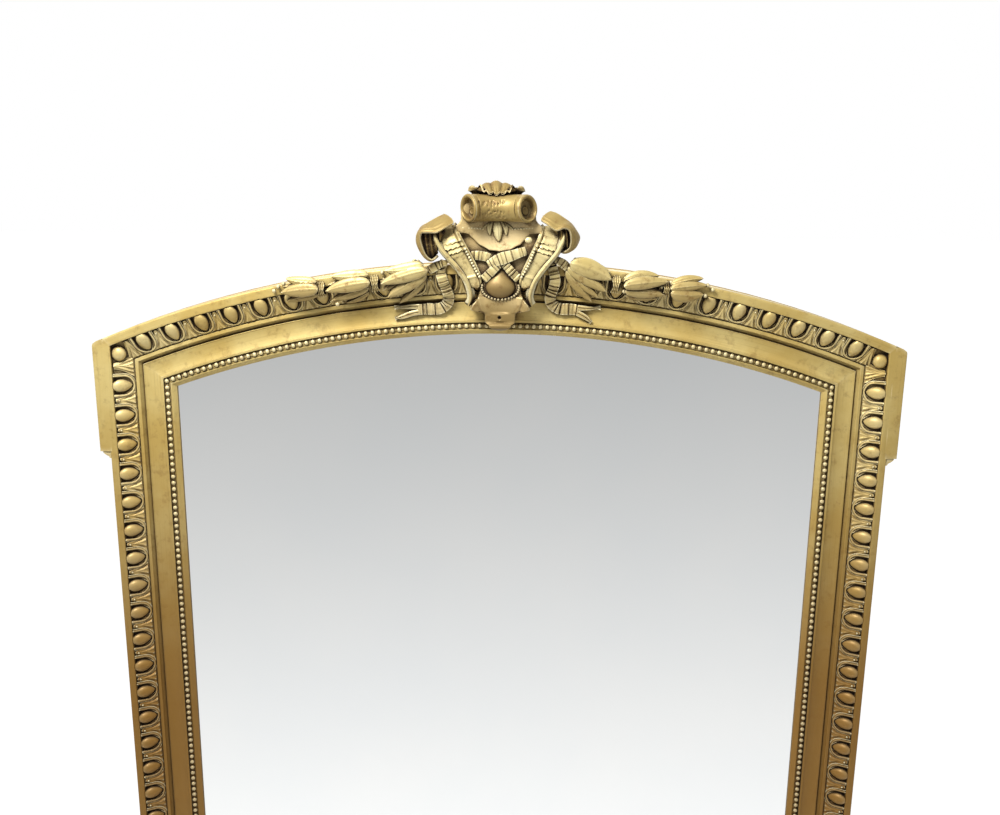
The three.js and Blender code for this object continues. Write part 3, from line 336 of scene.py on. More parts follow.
def gilding(name, gold, pale, grime_and_shade_colour, reach, grime_and_shade, low_shade, streaks=0.0, worn=0.4, edge_highlight=0.45):
    """Gold leaf over bole, with painted light and shade. The grime and painted shade get as deep
    into the hollows as reach, in metres. The painted shade low down is given as its share,
    the two heights between which it fades, and its colour."""
    finish = Finish(name, Specular_IOR_Level=0.3)
    place = finish.place()
    near, wide = finish.openness(reach, 6), finish.openness(reach * SOFT_REACH, 4)
    bend = finish.node("ShaderNodeNewGeometry", {}, {}, "Pointiness")
    cloud = finish.noise(place, 7.0, 5.0, 0.6)
    grain = finish.noise(place, 190.0, 4.0, 0.65)
    fleck = finish.noise(place, 60.0, 6.0, 0.7)
    shut = 1 - near + (fleck - 0.5) * 0.25
    hollow = finish.steps(shut, 0.10, 0.50)
    edge = finish.steps(bend, 0.52, 0.60)
    # The leaf: two golds, worn flecks, painted shade low down, a painted highlight on the edges, and bole.
    leaf = finish.mix(finish.steps(cloud, 0.35, 0.68), rgb(gold), rgb(pale))
    leaf = finish.mix(finish.steps(fleck, 0.51, 0.7) * worn, leaf, rgb("86653a"))
    share, fade_start, fade_end, low_shade_colour = low_shade
    # Painted shade: darker and browner towards the bottom, fading out between two heights.
    height = finish.part(place, "Z")
    leaf = finish.mix((1 - finish.steps(height, fade_start, fade_end)) * share, leaf, rgb(low_shade_colour))
    # Painted highlight: pale cream on sharp edges.
    leaf = finish.mix(edge * (edge_highlight + grain * 0.35), leaf, rgb("fff3c4"))
    bole = finish.steps(fleck * 0.55 + cloud * 0.45, 0.56, 0.68) * edge
    leaf = finish.mix(bole * 0.6, leaf, rgb("7d3a20"))
    # The painted shade: a wide soft one, grime and painted shade in the hollows, and a painted black in their
    # depths.
    shade_toned = finish.mix(finish.steps(1 - wide, 0.25, 0.8) * 0.5, leaf, rgb("8a6a38"))
    shade_toned = finish.mix(hollow * grime_and_shade, shade_toned, rgb(grime_and_shade_colour))
    shade_toned = finish.mix(finish.steps(shut, 0.38, 0.72) * 0.92, shade_toned, rgb("160d08"))
    rough = 0.36 + grain * 0.16 + hollow * 0.3
    relief = grain * 0.35 + fleck * 0.4
    if streaks:
        run = finish.noise(finish.lay(), 1.0, 5.0, 0.6, stretch=(9, 420, 420))
        rough = rough + (run - 0.5) * 0.3
        relief = relief + run * streaks
        shade_toned = finish.mix(finish.steps(run, 0.5, 0.75) * 0.22, shade_toned, rgb("8d6c2e"))
    normal = finish.bump(relief, 0.4, 0.0007)
    return finish.surface(
        Base_Color=shade_toned, Metallic=0.3 * (1 - hollow), Roughness=rough, Normal=normal
    )


print("the soft toning reaches", SOFT_REACH, "times as far as the grime")

# %% [markdown]
# The same recipe gives six golds. The plain mouldings are quiet and streaked along their
# run, the pressed ornament and the carving get a brighter painted highlight on their edges
# and deeper painted shade in their hollows, and the shield and the laurel each have their
# own tone. The boss, scroll, shell and loops get a darker copy of the carving's gold as
# painted shade. All are painted darker and browner low down, a painted shade.

# %% Six golds
# Painted shade low down for each gold: its share, the heights in metres between which it fades out, and its
# colour.
STILES = (0.95, 0.85, 1.56, "8e6629")
CREST = (0.35, 1.6, 1.7, "8e6629")
GARLAND = (0.5, 1.62, 1.73, "8e6629")
BOSS = (0.6, 1.63, 1.75, "775e3c")
PANEL = (0.85, 1.6, 1.665, "7e6636")
MOULDING_GILT = gilding(
    "gilded_moulding", "c6a95f", "d8c27e", "664a22", 0.009, 0.75, STILES, streaks=0.45, edge_highlight=0.3
)
ENRICHED_GILT = gilding("gilded_enrichment", "cbad63", "e3cf92", "4a3215", 0.010, 0.95, STILES)
CARVED_GILT = gilding(
    "gilded_carving", "dcc684", "f0e0a8", "452d14", 0.016, 0.97, CREST, worn=0.85, edge_highlight=0.7
)
SHIELD_GILT = gilding(
    "gilded_shield", "cab077", "dcc592", "452d14", 0.016, 0.97, PANEL, worn=0.85
)
LAUREL_GILT = gilding(
    "gilded_laurel", "c8b26e", "dfce90", "3b2813", 0.022, 0.97, GARLAND, worn=0.9, edge_highlight=0.6
)
# A darker copy of the carving's gold, painted shade for the boss, scroll, shell and loops.
SHADE_TONED_GILT = gilding(
    "shade_toned_carving", "998049", "b39c60", "3f2a15", 0.020, 0.97, BOSS, worn=0.75, edge_highlight=0.25
)
print("gilding:", [m.name for m in bpy.data.materials if m.name.startswith(("gilded", "shade_toned"))])

# %% [markdown]
# ## Running a moulding round the frame
# A framer planes a moulding in long lengths and cuts the mitres where they meet. Here a
# section of (w, h) points, w inward from the outer edge and h above the back, is run along
# each side in the same way. On the arch the section is a little wider, as on the real
# frame, and the mitre there is cut where the straight side meets the curve.

# %% The outline at any width
LIP, ARCH_LIP = 12.5, 16
ARCH_SPREAD = 1.07


def arch_width(w):
    """How far in from the arch's outer line a width of the section lies."""
    w = np.asarray(w, float)
    return np.where(w <= LIP, w * ARCH_LIP / LIP, ARCH_LIP + (w - LIP) * ARCH_SPREAD)


def arch_top(x, w=0.0):
    """Height of the arch's line at width w, over a place x."""
    return ARCH_CENTRE + np.sqrt((ARCH_RADIUS - arch_width(w)) ** 2 - np.asarray(x, float) ** 2)


def run_point(side, w, t, h):
    """Points of a side at width w, a share t of the way from one mitre to the other."""
    w, t, h = np.broadcast_arrays(*[np.asarray(v, float) for v in (w, t, h)])
    half = HALF_WIDTH - w
    if side == "top":
        radius = ARCH_RADIUS - arch_width(w)
        angle = np.arcsin(half / radius) * (2 * t - 1)
        return np.stack([np.sin(angle) * radius, y_of(h), ARCH_CENTRE + np.cos(angle) * radius], -1)
    if side == "bottom":
        return np.stack([half * (2 * t - 1), y_of(h), w], -1)
    sign = 1 if side == "right" else -1
    z = w + (arch_top(half, w) - w) * t
    return np.stack([sign * half, y_of(h), z], -1)


SIGHT_EDGE = 110.6
print("mitre at the top, outside", arch_top(HALF_WIDTH),
      "and at the glass", arch_top(HALF_WIDTH - SIGHT_EDGE, SIGHT_EDGE))

# %% [markdown]
# The corners of a section are given a radius, because a real arris is never dead sharp,
# and it is the rounding that catches the light. A bevel modifier could round the whole
# mesh, but rounding the section costs nothing and gives each arris its own radius. Beside
# each rounding goes one more point on the flat, so that the painted highlight on the edges
# of the gilding, which is worked out at the mesh's points, stays narrow.

# %% Round the corners of a section
def eased(section, steps=3):
    """A closed section with its corners rounded: each point is (w, h) or (w, h, radius)."""
    out = []
    count = len(section)
    for i, point in enumerate(section):
        here = np.array(point[:2], float)
        radius = point[2] if len(point) > 2 else 0
        if not radius:
            out.append(here)
            continue
        before = np.array(section[i - 1][:2], float) - here
        after = np.array(section[(i + 1) % count][:2], float) - here
        long_in, long_out = np.linalg.norm(before), np.linalg.norm(after)
        reach = min(radius, 0.48 * long_in, 0.48 * long_out)
        start, end = here + before / long_in * reach, here + after / long_out * reach
        if long_in > 4 * reach:
            out.append(start + before / long_in * 0.7 * reach)
        for k in range(steps + 1):
            t = k / steps
            out.append(start * (1 - t) ** 2 + 2 * here * t * (1 - t) + end * t ** 2)
        if long_out > 4 * reach:
            out.append(end + after / long_out * 0.7 * reach)
    return np.array(out)


EAR = 18
EAR_BOTTOM = float(arch_top(HALF_WIDTH + EAR)) - 188


def run_moulding(work, side, section):
    """Runs a closed section along one side; beside an ear its outer arris is square."""
    steps = {"top": 96, "bottom": 24}.get(side, 60)
    t = np.linspace(0, 1, steps + 1)[:, None]
    w, h = section[:, 0][None], section[:, 1][None]
    rows = run_point(side, w, t, h)
    if side in ("left", "right") and w.min() == 0:
        arris = (w < 2.6) & (h > DEPTH - 2.6) & (rows[..., 2] > EAR_BOTTOM)
        rows[arris] = rows[arris] * [0, 0, 1] + [-HALF_WIDTH if side == "left" else HALF_WIDTH, y_of(DEPTH), 0]
    length = {"top": 1400, "bottom": 1330}.get(side, 1560)
    girth = np.concatenate([[0], np.cumsum(np.linalg.norm(np.diff(section, axis=0), axis=1))])
    lay = np.stack(np.broadcast_arrays(t * length, girth[None], h), -1)
    work.grid(rows, round_=True, caps=True, lay=lay)


print("a square with round corners:", len(eased([(0, 0, 1), (9, 0, 1), (9, 9, 1), (0, 9, 1)])), "points")

# %% [markdown]
# ## The mouldings
# From the outside in: a flat lip with eased arrises, the slanting ground that carries the
# eggs, a fillet, a cove, the broad shallow hollow, a small fillet, the channel of the
# beads, and the bevel at the sight edge that dips to the glass.

# %% Sections of the outer and inner mouldings
BACKING = 29.3
OUTER = [
    (0, BACKING), (0, DEPTH, 2.6), (LIP, DEPTH, 1.7), (LIP, 56), (45.3, 44), (45.3, BACKING),
]
COVE = [(51.8 + 5.9 * t, 46.0 - 7.8 * t ** 0.62) for t in np.linspace(0, 1, 8)]
HOLLOW = [(59.5 + 27.5 * t, 39.5 + 9 * (t - 0.5) ** 2) for t in np.linspace(0, 1, 13)]
INNER = [
    (45.6, BACKING), (45.6, 46.5, 0.9), (51.3, 46.9, 0.8), *COVE, (58.3, 42.3, 0.3),
    (59.4, 42.5, 0.3), *HOLLOW, (87, 42.8, 0.7), (91, 42.6, 0.8), (91, 38.2), (101.6, 38.2),
    (101.9, 39.6, 0.5), (103.6, 39.5, 0.6), (SIGHT_EDGE, 32.4, 0.8), (SIGHT_EDGE, BACKING),
]
SIDES = ("left", "right", "top", "bottom")
for side in SIDES:
    outer, inner = Work(), Work()
    run_moulding(outer, side, eased(OUTER, 4))
    run_moulding(inner, side, eased(INNER, 3))
    settle(outer, f"lip_{side}", MOULDING_GILT, [f"outer_moulding_{side}"])
    settle(inner, f"hollow_{side}", MOULDING_GILT, [f"inner_moulding_{side}"])

# %% [markdown]
# The ears are flat boards that widen the lip at the shoulders. Each ends below in a small
# slanting foot, cut like a short length of cornice. A board could be a cube with a bevel,
# but its top has to follow the arch and end in a round corner, so it is run upward as a
# section too, each point of which stops at its own height.

# %% Ears and their feet
CORNER = 7
EAR_SECTION = eased([
    (-0.5, 0), (EAR, 0, 1.2), (EAR, DEPTH, 2.6), (10, DEPTH), (2, DEPTH + 0.03),
    (-2, DEPTH + 0.03), (-4, DEPTH - 0.1), (-5, DEPTH - 2), (-0.5, DEPTH - 4),
], 4)
FOOT_OUTLINE = eased([
    (0.15, 0), (2.6, 0, 0.6), (3.8, 3.4, 0.8), (8.2, 5.6, 1.6), (12.8, 9, 1.6),
    (13.7, 12.5, 0.8), (0.15, 12.5),
])
for name, sign in (("left", -1), ("right", 1)):
    ear, foot = Work(), Work()
    x = sign * (HALF_WIDTH + EAR_SECTION[:, 0])
    over = np.maximum(EAR_SECTION[:, 0] - EAR + CORNER, 0)
    top = arch_top(x) - CORNER + np.sqrt(CORNER ** 2 - over ** 2) - 2.6 * (EAR_SECTION[:, 0] < -0.6)
    part = np.linspace(0, 1, 22)[:, None]
    z = EAR_BOTTOM + (top - EAR_BOTTOM)[None] * part
    y = np.broadcast_to(y_of(EAR_SECTION[:, 1])[None], z.shape)
    lay = np.stack(np.broadcast_arrays(z, EAR_SECTION[:, 0][None], y), -1)
    ear.grid(np.stack([np.broadcast_to(x[None], z.shape), y, z], -1), round_=True, caps=True, lay=lay)
    settle(ear, f"{name}_ear_board", MOULDING_GILT, [f"{name}_ear"])
    fx = sign * (HALF_WIDTH + FOOT_OUTLINE[:, 0])
    fz = EAR_BOTTOM - 12.7 + FOOT_OUTLINE[:, 1]
    rows = [np.stack([fx, np.full_like(fx, y_of(h)), fz], -1) for h in (0, 30, 62.6, 63.4, 64)]
    foot.grid(rows, round_=True, caps=True)
    settle(foot, f"{name}_ear_cornice", MOULDING_GILT, [f"{name}_ear_foot"])
print("ears end at", EAR_BOTTOM)

# %% [markdown]
# ## Egg-and-dart
# The ornament is pressed in composition, a putty that takes fine detail, and glued on in
# lengths. One repeat has an egg that points to the glass, a cup that runs round it like a
# U, and a dart of leaves between two cups with a bead at its head. An array modifier with
# a curve could repeat one mesh, but the pitch differs a little from side to side. So each
# part is a small patch in three measures: s along the run, w across it, and e above the
# ground, which slopes from the lip down to the glass. First comes the egg.

# %% The ground and one egg
BAND_START, BAND_END = LIP + 0.4, 45.0


def ground(w):
    """Height of the sloping ground at a width."""
    return 56 - 12 * (np.asarray(w, float) - LIP) / 32.8 + 0.36


def egg_patch():
    """A full ovoid, wide at the lip and pointed to the glass, half sunk in its cup."""
    t = np.linspace(0, 1, 15)[:, None]
    turn = np.linspace(0, 2 * np.pi, 18, endpoint=False)[None]
    girth = np.sin(np.pi * (0.1 + 0.9 * t) ** 0.88) ** 0.5 * (1 - 0.14 * t ** 3)
    girth = np.maximum(girth, 0.02)
    s = 11.2 * girth * np.cos(turn)
    e = 4.6 - 2.6 * t ** 2 + 9.2 * girth * np.sin(turn) * (1 - 0.15 * t)
    w = 13.2 + 26.8 * t + 0 * turn
    return np.stack([s, w, e], -1)


print("an egg has", egg_patch().shape[:2], "points")

# %% [markdown]
# The cup is a U drawn first as a line and then given a section: a flat rim, a groove and a
# thin ridge outside it, with steep walls down to the ground. Its arms are straight for the
# upper part and bend round under the egg.

# %% One cup
CUP_HALF, BEND = 17.1, 0.62


def cup_line(t):
    """The U round an egg, t from -1 to 1: its place (s, w) and how high its rim stands."""
    a = np.abs(t)
    arm = np.sign(t) * (CUP_HALF - 0.4 * (a - BEND))
    s = np.where(a > BEND, arm, np.sign(t) * CUP_HALF * np.sin(a / BEND * np.pi / 2) ** 0.86)
    w = 42.9 - 29.8 * (1 - np.cos(np.minimum(a * 1.02, 1) * np.pi * 0.5)) ** 0.86
    e = 2.9 + 4.6 * a ** 0.9
    return s, w, e


def cup_patch():
    """The rim of the cup along its line, with its walls."""
    t = np.linspace(-1, 1, 41)
    s, w, e = cup_line(t)
    ds, dw = np.gradient(s), np.gradient(w)
    run = np.hypot(ds, dw)
    out_s, out_w = -dw / run, ds / run
    flip = np.where(out_w + np.sign(s) * out_s >= -0.2, 1.0, -1.0)
    out_s, out_w = out_s * flip, out_w * flip
    across = np.array([-2.2, -1.8, -1.2, 0.0, 1.6, 2.2, 2.5, 3.1, 3.9, 4.2])
    rise = np.array([-9.0, -0.5, 0.2, 0.5, 0.2, -1.3, -1.3, -0.2, -0.6, -7.5])
    taper = (0.72 + 0.28 * np.abs(t) ** 0.6)[:, None]
    ss = s[:, None] + out_s[:, None] * across[None] * taper
    ww = w[:, None] + out_w[:, None] * across[None] * taper
    ee = np.maximum(e[:, None] + rise[None], -0.1)
    return np.stack([ss, np.clip(ww, BAND_START, BAND_END), ee], -1)


print("a cup has", cup_patch().shape[:2], "points")

# %% [markdown]
# The dart widens like a fan towards the glass. It is a sheet whose height is a formula: a
# vein down the middle, and to both sides slanting flutes, which are a cosine of a slanted
# distance. Its rim is pulled down below the ground, so no gap shows.

# %% One dart
def dart_patch():
    """The leaf between two cups: a middle vein, slanting flutes and a sunk ground."""
    u = np.linspace(-1, 1, 41)[None]
    v = np.linspace(0, 1, 27)[:, None]
    w = 13.4 + 31.0 * v + 0 * u
    half = 6.6 + 19.2 * v ** 1.55
    s = u * half
    slant = np.abs(s) * 0.36 - v * 5.2
    flutes = (0.5 + 0.5 * np.cos(2 * slant)) ** 0.8 * (0.35 + 0.65 * v)
    vein = np.exp(-(s / 1.2) ** 2)
    body = np.exp(-(s / (2.4 + 7.0 * v)) ** 2)
    e = 4.2 - 3.6 * v + 1.6 * body + 1.2 * vein + 3.0 * flutes * (1 - vein)
    e = np.where((v < 0.03) | (v > 0.97) | (np.abs(u) > 0.98), -0.2, e)
    top = np.stack([s, w, e], -1)
    under = top[:, [-1, 0]] - np.array([0, 0, 0.4])
    return np.concatenate([top, under], axis=1)


print("a dart has", dart_patch().shape[:2], "points")

# %% [markdown]
# A carver steps the repeats out with dividers so that a whole number fits between the
# corners. The same is done here along the line through the middle of the eggs. A patch is
# then laid at its distance along that line, straight on the sides and bent on the arch.

# %% Lay the patches along a side
PITCH = 52.09
EGG_W = 29.05


def run_length(side, w):
    """Length of a side at a width, from mitre to mitre."""
    if side == "top":
        radius = ARCH_RADIUS - float(arch_width(w))
        return 2 * math.asin((HALF_WIDTH - w) / radius) * radius
    return float(np.linalg.norm(run_point(side, w, 0, 0) - run_point(side, w, 1, 0)))


def on_side(side, at, patch):
    """Bends a patch of (s, w, e) onto a side, its middle at a distance along the egg line."""
    s, w, e = patch[..., 0], patch[..., 1], patch[..., 2]
    h = ground(w) + e
    length = run_length(side, EGG_W)
    if side == "top":
        end = math.asin((HALF_WIDTH - EGG_W) / (ARCH_RADIUS - float(arch_width(EGG_W))))
        angle = end * (2 * (at + s) / length - 1)
        radius = ARCH_RADIUS - arch_width(w)
        return np.stack([np.sin(angle) * radius, y_of(h), ARCH_CENTRE + np.cos(angle) * radius], -1)
    if side == "bottom":
        return np.stack([-length / 2 + at + s, y_of(h), w], -1)
    sign = 1 if side == "right" else -1
    return np.stack([sign * (HALF_WIDTH - w), y_of(h), EGG_W + at + s], -1)


def egg_places(side):
    """Middles of the eggs, measured from the lower or left-hand corner."""
    length = run_length(side, EGG_W)
    if side == "top":
        half = np.arange(43.0, length / 2 - PITCH * 0.4, PITCH)
        return np.sort(np.concatenate([half, length - half]))
    spare = 0 if side == "bottom" else 57.0
    count = round((length - spare) / PITCH)
    return np.arange(1, count + (1 if spare else 0)) * (length - spare) / count


for side in SIDES:
    print(side, "eggs", len(egg_places(side)), "length", round(run_length(side, EGG_W)))

# %% [markdown]
# Each side is one strip, as it is when it is glued on: a thin base with the patches on it.
# A dart stands in the middle between two eggs. Next to a corner ball there is less room,
# so the dart there is narrower and stands close to its cup.

# %% Eggs, cups and darts of every side
for side in SIDES:
    strip = Work()
    length = run_length(side, EGG_W)
    places = egg_places(side)
    base = eased([(BAND_START, 56.3), (BAND_START, 56.7, 0.2), (BAND_END, 45.0, 0.2), (BAND_END, 44.6)], 1)
    run_moulding(strip, side, base)
    for at in places:
        strip.grid(on_side(side, at, egg_patch()), round_=True)
        strip.grid(on_side(side, at, cup_patch()), round_=True, caps=True)
    stops = np.concatenate([[0], places, [length]])
    for a, b in zip(stops[:-1], stops[1:]):
        middle = (a + b) / 2
        edge = a == 0 or b == length
        patch = dart_patch()
        if edge:
            aside = (b - a - CUP_HALF) / 2 + 3
            middle = a + aside if a == 0 else b - aside
            patch[..., 0] *= 0.8
        strip.grid(on_side(side, middle, patch), round_=True, caps=True)
        if not edge:
            strip.ball(on_side(side, middle, np.array([0.0, 19.5, 6.8])), (2.0, 1.8, 2.0), around=8, along=6)
    settle(strip, f"eggs_{side}", ENRICHED_GILT, [f"egg_and_dart_{side}"], sharp=55)
# %% [markdown]
# A round ball fills each corner, where the eggs of two sides would run into each other.
# The upper ones stand a little below the mitre and outside it, as on the real frame.

# %% Corner balls
BALL_W = 26.0
for side, sign in (("left", -1), ("right", 1)):
    work = Work()
    for end in (0, 1):
        centre = run_point(side, BALL_W, end, ground(BALL_W) + 4.5) + [3 * sign * end, 0, -4 * end]
        work.ball(centre, (12.6, 9.8, 12.6), around=24, along=16)
    settle(work, f"corner_balls_{side}", ENRICHED_GILT, sharp=180)

# %% [markdown]
# The beads are a second string in their own channel: each is a little globe on a thin
# thread, with a dark gap to the next. They are real balls and not a bump in the finish,
# because each must catch its own light. A corner bead belongs to the top or bottom string.

# %% Strings of beads
BEAD_PITCH = 11.45
BEAD_W, BEAD_H = 96.3, 40.6
THREAD = eased([(94.4, 38.0), (94.4, 39.6, 0.6), (98.2, 39.6, 0.6), (98.2, 38.0)])
for side in SIDES:
    work = Work()
    count = round(run_length(side, BEAD_W) / BEAD_PITCH)
    corner = 1 if side in ("left", "right") else 0
    for i in range(corner, count + 1 - corner):
        work.ball(run_point(side, BEAD_W, i / count, BEAD_H), (3.95, 3.6, 3.95), around=12, along=8)
    run_moulding(work, side, THREAD)
    settle(work, f"beads_{side}", ENRICHED_GILT, [f"bead_strip_{side}"], sharp=180)
    print(side, "beads", count)

# %% [markdown]
# ## The glass
# The plate is silvered on its back, so it is a mirror with a thin skin of clear glass. It
# keeps the solid's shape. Old plate is never perfectly clean, so its roughness is not
# quite zero, and it carries a trace of haze that can only be seen at a slant.

# %% Mirror plate
def dress(name, material):
    """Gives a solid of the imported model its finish."""
    node = frame["nodes"][name]
    node.data.materials.clear()
    node.data.materials.append(material)
    return node


def mirror_finish():
    finish = Finish("silvered_plate", Metallic=1.0, Specular_IOR_Level=0.5)
    haze = finish.noise(finish.place(), 3.0, 3.0, 0.5)
    tint = finish.mix(finish.steps(haze, 0.3, 0.7), rgb("eef0f0"), rgb("f1f2f1"))
    return finish.surface(Base_Color=tint, Roughness=0.004 + haze * 0.006)


plate = dress("mirror_glass", mirror_finish())
print("plate, in metres:", [round(side, 3) for side in plate.dimensions])

# %% [markdown]
# ## The wood behind
# The carcass is soft pine with halved corners. Its edges were brushed with yellow ochre
# so that the eye passes over them, and its back was left bare, as were the boards, which
# are rough from the saw and have gone brown and dusty. The grain is noise drawn out along
# one axis, twice: broad for the year rings and fine for the fibre.

# %% Pine and boards
def wood(name, light, dark, along, ochre=0.0, dust=0.2):
    """Softwood with its grain along one axis; ochre covers what doesn't face the wall."""
    finish = Finish(name, Specular_IOR_Level=0.3)
    place = finish.place()
    stretch = {"x": (2.2, 60, 60), "z": (60, 60, 2.2)}[along]
    rings = finish.noise(place, 1.0, 5.0, 0.62, stretch=stretch)
    fibre = finish.noise(place, 6.0, 6.0, 0.7, stretch=stretch)
    cloud = finish.noise(place, 5.0, 4.0, 0.6)
    colour = finish.mix(finish.steps(rings, 0.38, 0.62), rgb(light), rgb(dark))
    colour = finish.mix(finish.steps(fibre, 0.45, 0.8) * 0.4, colour, rgb("3a2a1a"))
    colour = finish.mix(finish.steps(cloud, 0.45, 0.75) * dust, colour, rgb("9c8f7c"))
    knots = finish.node("ShaderNodeTexVoronoi", {}, {"Vector": place, "Scale": 3.1}, "Distance")
    colour = finish.mix((1 - finish.steps(knots, 0.03, 0.06)) * 0.75, colour, rgb("3b2412"))
    if ochre:
        back = finish.part(finish.node("ShaderNodeNewGeometry", {}, {}, "True Normal"), "Y")
        wash = (1 - finish.steps(back, 0.3, 0.7)) * ochre * (0.75 + cloud * 0.25)
        worn = finish.steps(finish.noise(place, 24.0, 5.0, 0.7), 0.3, 0.5)
        colour = finish.mix(wash * worn, colour, rgb("b99a4f"))
    # Painted shade: the wood goes nearly black where other parts close round it.
    colour = finish.mix((1 - finish.openness(0.03, 4)) * 0.6, colour, rgb("20160d"))
    normal = finish.bump(fibre * 0.6 + rings * 0.4, 0.4, 0.001)
    return finish.surface(Base_Color=colour, Roughness=0.62 + fibre * 0.25, Normal=normal)


PINE_UP = wood("pine_upright", "a98556", "86623a", "z", ochre=0.95)
PINE_ACROSS = wood("pine_across", "a98556", "86623a", "x", ochre=0.95)
BOARD = wood("sawn_board", "7d6142", "57402a", "z", dust=0.45)
BATTEN = wood("planed_batten", "94724a", "6d4f30", "x", dust=0.35)
print("woods:", [m.name for m in (PINE_UP, PINE_ACROSS, BOARD, BATTEN)])

# %% [markdown]
# The hanging plates and screws are iron from the smith, with some rust, and the rings are
# brass wire that has gone dull. Both are one recipe: a metal in two shades, with fine
# pits in which there are specks of rust or dirt.

# %% Iron and brass
def old_metal(name, light, dark, rust, metallic, rough):
    finish = Finish(name, Metallic=metallic)
    place = finish.place()
    cloud = finish.noise(place, 90.0, 5.0, 0.65)
    fine = finish.noise(place, 700.0, 4.0, 0.6)
    colour = finish.mix(finish.steps(cloud, 0.35, 0.65), rgb(light), rgb(dark))
    colour = finish.mix(finish.steps(fine, 0.5, 0.75) * 0.7, colour, rgb(rust))
    normal = finish.bump(fine, 0.25, 0.0004)
    return finish.surface(Base_Color=colour, Roughness=rough + cloud * 0.25, Normal=normal)


IRON = old_metal("wrought_iron", "55504b", "2c2825", "5a3520", 0.8, 0.45)
BRASS = old_metal("dull_brass", "a9853f", "6e5426", "4a3a1c", 0.95, 0.3)
print("metals:", IRON.name, BRASS.name)

# %% [markdown]
# What can't be seen from the front keeps the shape of its solid. The carcass is sawn and
# planed wood, so straight solids are right for it. A small bevel modifier eases the
# arrises, because even a sharp plane leaves an edge that catches some light.

# %% Dress the solids that keep their own shape
DRESSED = {
    "left_stile": PINE_UP, "right_stile": PINE_UP, "top_rail": PINE_ACROSS, "bottom_rail": PINE_ACROSS,
    "glazing_fillet_left": PINE_UP, "glazing_fillet_right": PINE_UP,
    "glazing_fillet_top": PINE_ACROSS, "glazing_fillet_bottom": PINE_ACROSS,
    "backboard_left": BOARD, "backboard_middle": BOARD, "backboard_right": BOARD,
    "lower_batten": BATTEN, "upper_batten": BATTEN, "crest_board": PINE_UP,
}
for name in ("left", "right"):
    DRESSED.update({f"{name}_hanger_plate": IRON, f"{name}_upper_screw": IRON, f"{name}_lower_screw": IRON})
for name, material in DRESSED.items():
    node = dress(name, material)
    node.data.shade_smooth()
    node.data.set_sharp_from_angle(angle=math.radians(30))
    bevel = node.modifiers.new("eased edges", "BEVEL")
    bevel.width = 0.0007 if "screw" not in name and "plate" not in name else 0.0003
    bevel.segments = 2
    bevel.limit_method = "ANGLE"
    bevel.angle_limit = math.radians(40)
print("dressed", len(DRESSED), "solids")

# %% [markdown]
# The hanging rings are drawn wire, bent to a D and closed. A wire is a row of circles swept
# along its line, which is smoother than the solid's eight flat sides. Each ring rides on
# its own body, so that it swings when the model is posed.

# %% Hanging rings
RING_X, RING_Y, RING_Z = 621, 28.1, 1250
WIRE_RADIUS = 2.0


def ring_line():
    """The D of the ring about its axis: a straight bar above, bends, and a half round."""
    half, bend, drop = 13.0, 3.0, 34.0
    wide = half + bend
    arc = np.linspace(0, np.pi, 40)
    bow = [(wide * math.cos(a), -(drop - wide) - wide * math.sin(a)) for a in arc]
    corner = [(half + bend * math.sin(a), -bend + bend * math.cos(a)) for a in np.linspace(0, np.pi / 2, 6)]
    mirror = [(-x, z) for x, z in reversed(corner)]
    return np.array([(x, 0.0) for x in np.linspace(-half, half, 9)[1:-1]] + corner + bow[1:-1] + mirror)


for name, sign in (("left", -1), ("right", 1)):
    line = ring_line()
    work = Work()
    run = np.roll(line, -1, 0) - np.roll(line, 1, 0)
    run /= np.linalg.norm(run, axis=1, keepdims=True)
    turn = np.linspace(0, 2 * np.pi, 14, endpoint=False)
    rows = []
    for (x, z), (dx, dz) in zip(line, run):
        out, up = np.cos(turn) * WIRE_RADIUS, np.sin(turn) * WIRE_RADIUS
        rows.append(np.stack([sign * RING_X + x - dz * out, RING_Y + up, RING_Z + z + dx * out], -1))
    work.grid(rows + rows[:1], round_=True)
    settle(work, f"{name}_ring_wire", BRASS, [f"{name}_hanger_ring"], sharp=180, body=f"{name}_ring")
# %% [markdown]
# ## Carving: lines, bands and leaves
# The crest is carved in the round and stands before the lip. It leans a little to its
# left, as the old one does. A carved line is given by a few places, and a smooth curve
# through them gives as many points as the mesh needs. A ribbon is a thin sheet run along
# such a line. Its pleats are steps across it, each rising sharply and falling away slowly,
# which is how a gathered silk ribbon lies.

# %% Smooth lines and pleated bands
LEAN = 0.055


def crest(x, z, f):
    """Points of the crest with the lean of the carving."""
    return front(x - LEAN * np.maximum(z, 0), z, f)


def smooth_line(places, count):
    """A Catmull-Rom curve through rows of numbers."""
    places = np.asarray(places, float)
    padded = np.concatenate([2 * places[:1] - places[1:2], places, 2 * places[-1:] - places[-2:-1]])
    at = np.linspace(0, len(places) - 1, count)
    i = np.minimum(at.astype(int), len(places) - 2)
    t = (at - i)[:, None]
    a, b, c, d = (padded[i + k] for k in range(4))
    return 0.5 * (2 * b + (c - a) * t + (2 * a - 5 * b + 4 * c - d) * t ** 2 + (3 * b - a - 3 * c + d) * t ** 3)


def pleats(s, period, depth, seed=0.0):
    """Steps across a gathered ribbon at lengths s along it."""
    phase = s / period + 0.22 * np.sin(s * 0.37 + seed) + 0.12 * np.sin(s * 0.91 + 2 * seed)
    part = phase - np.floor(phase)
    return depth * np.minimum(part / 0.16, 1) * (1 - 0.75 * part) - 0.35 * depth


def gathered(period, depth, seed, swell):
    """The relief of a gathered ribbon that is also a little round across."""
    return lambda s, u, z: pleats(s, period, depth, seed) + swell * (1 - u ** 2)


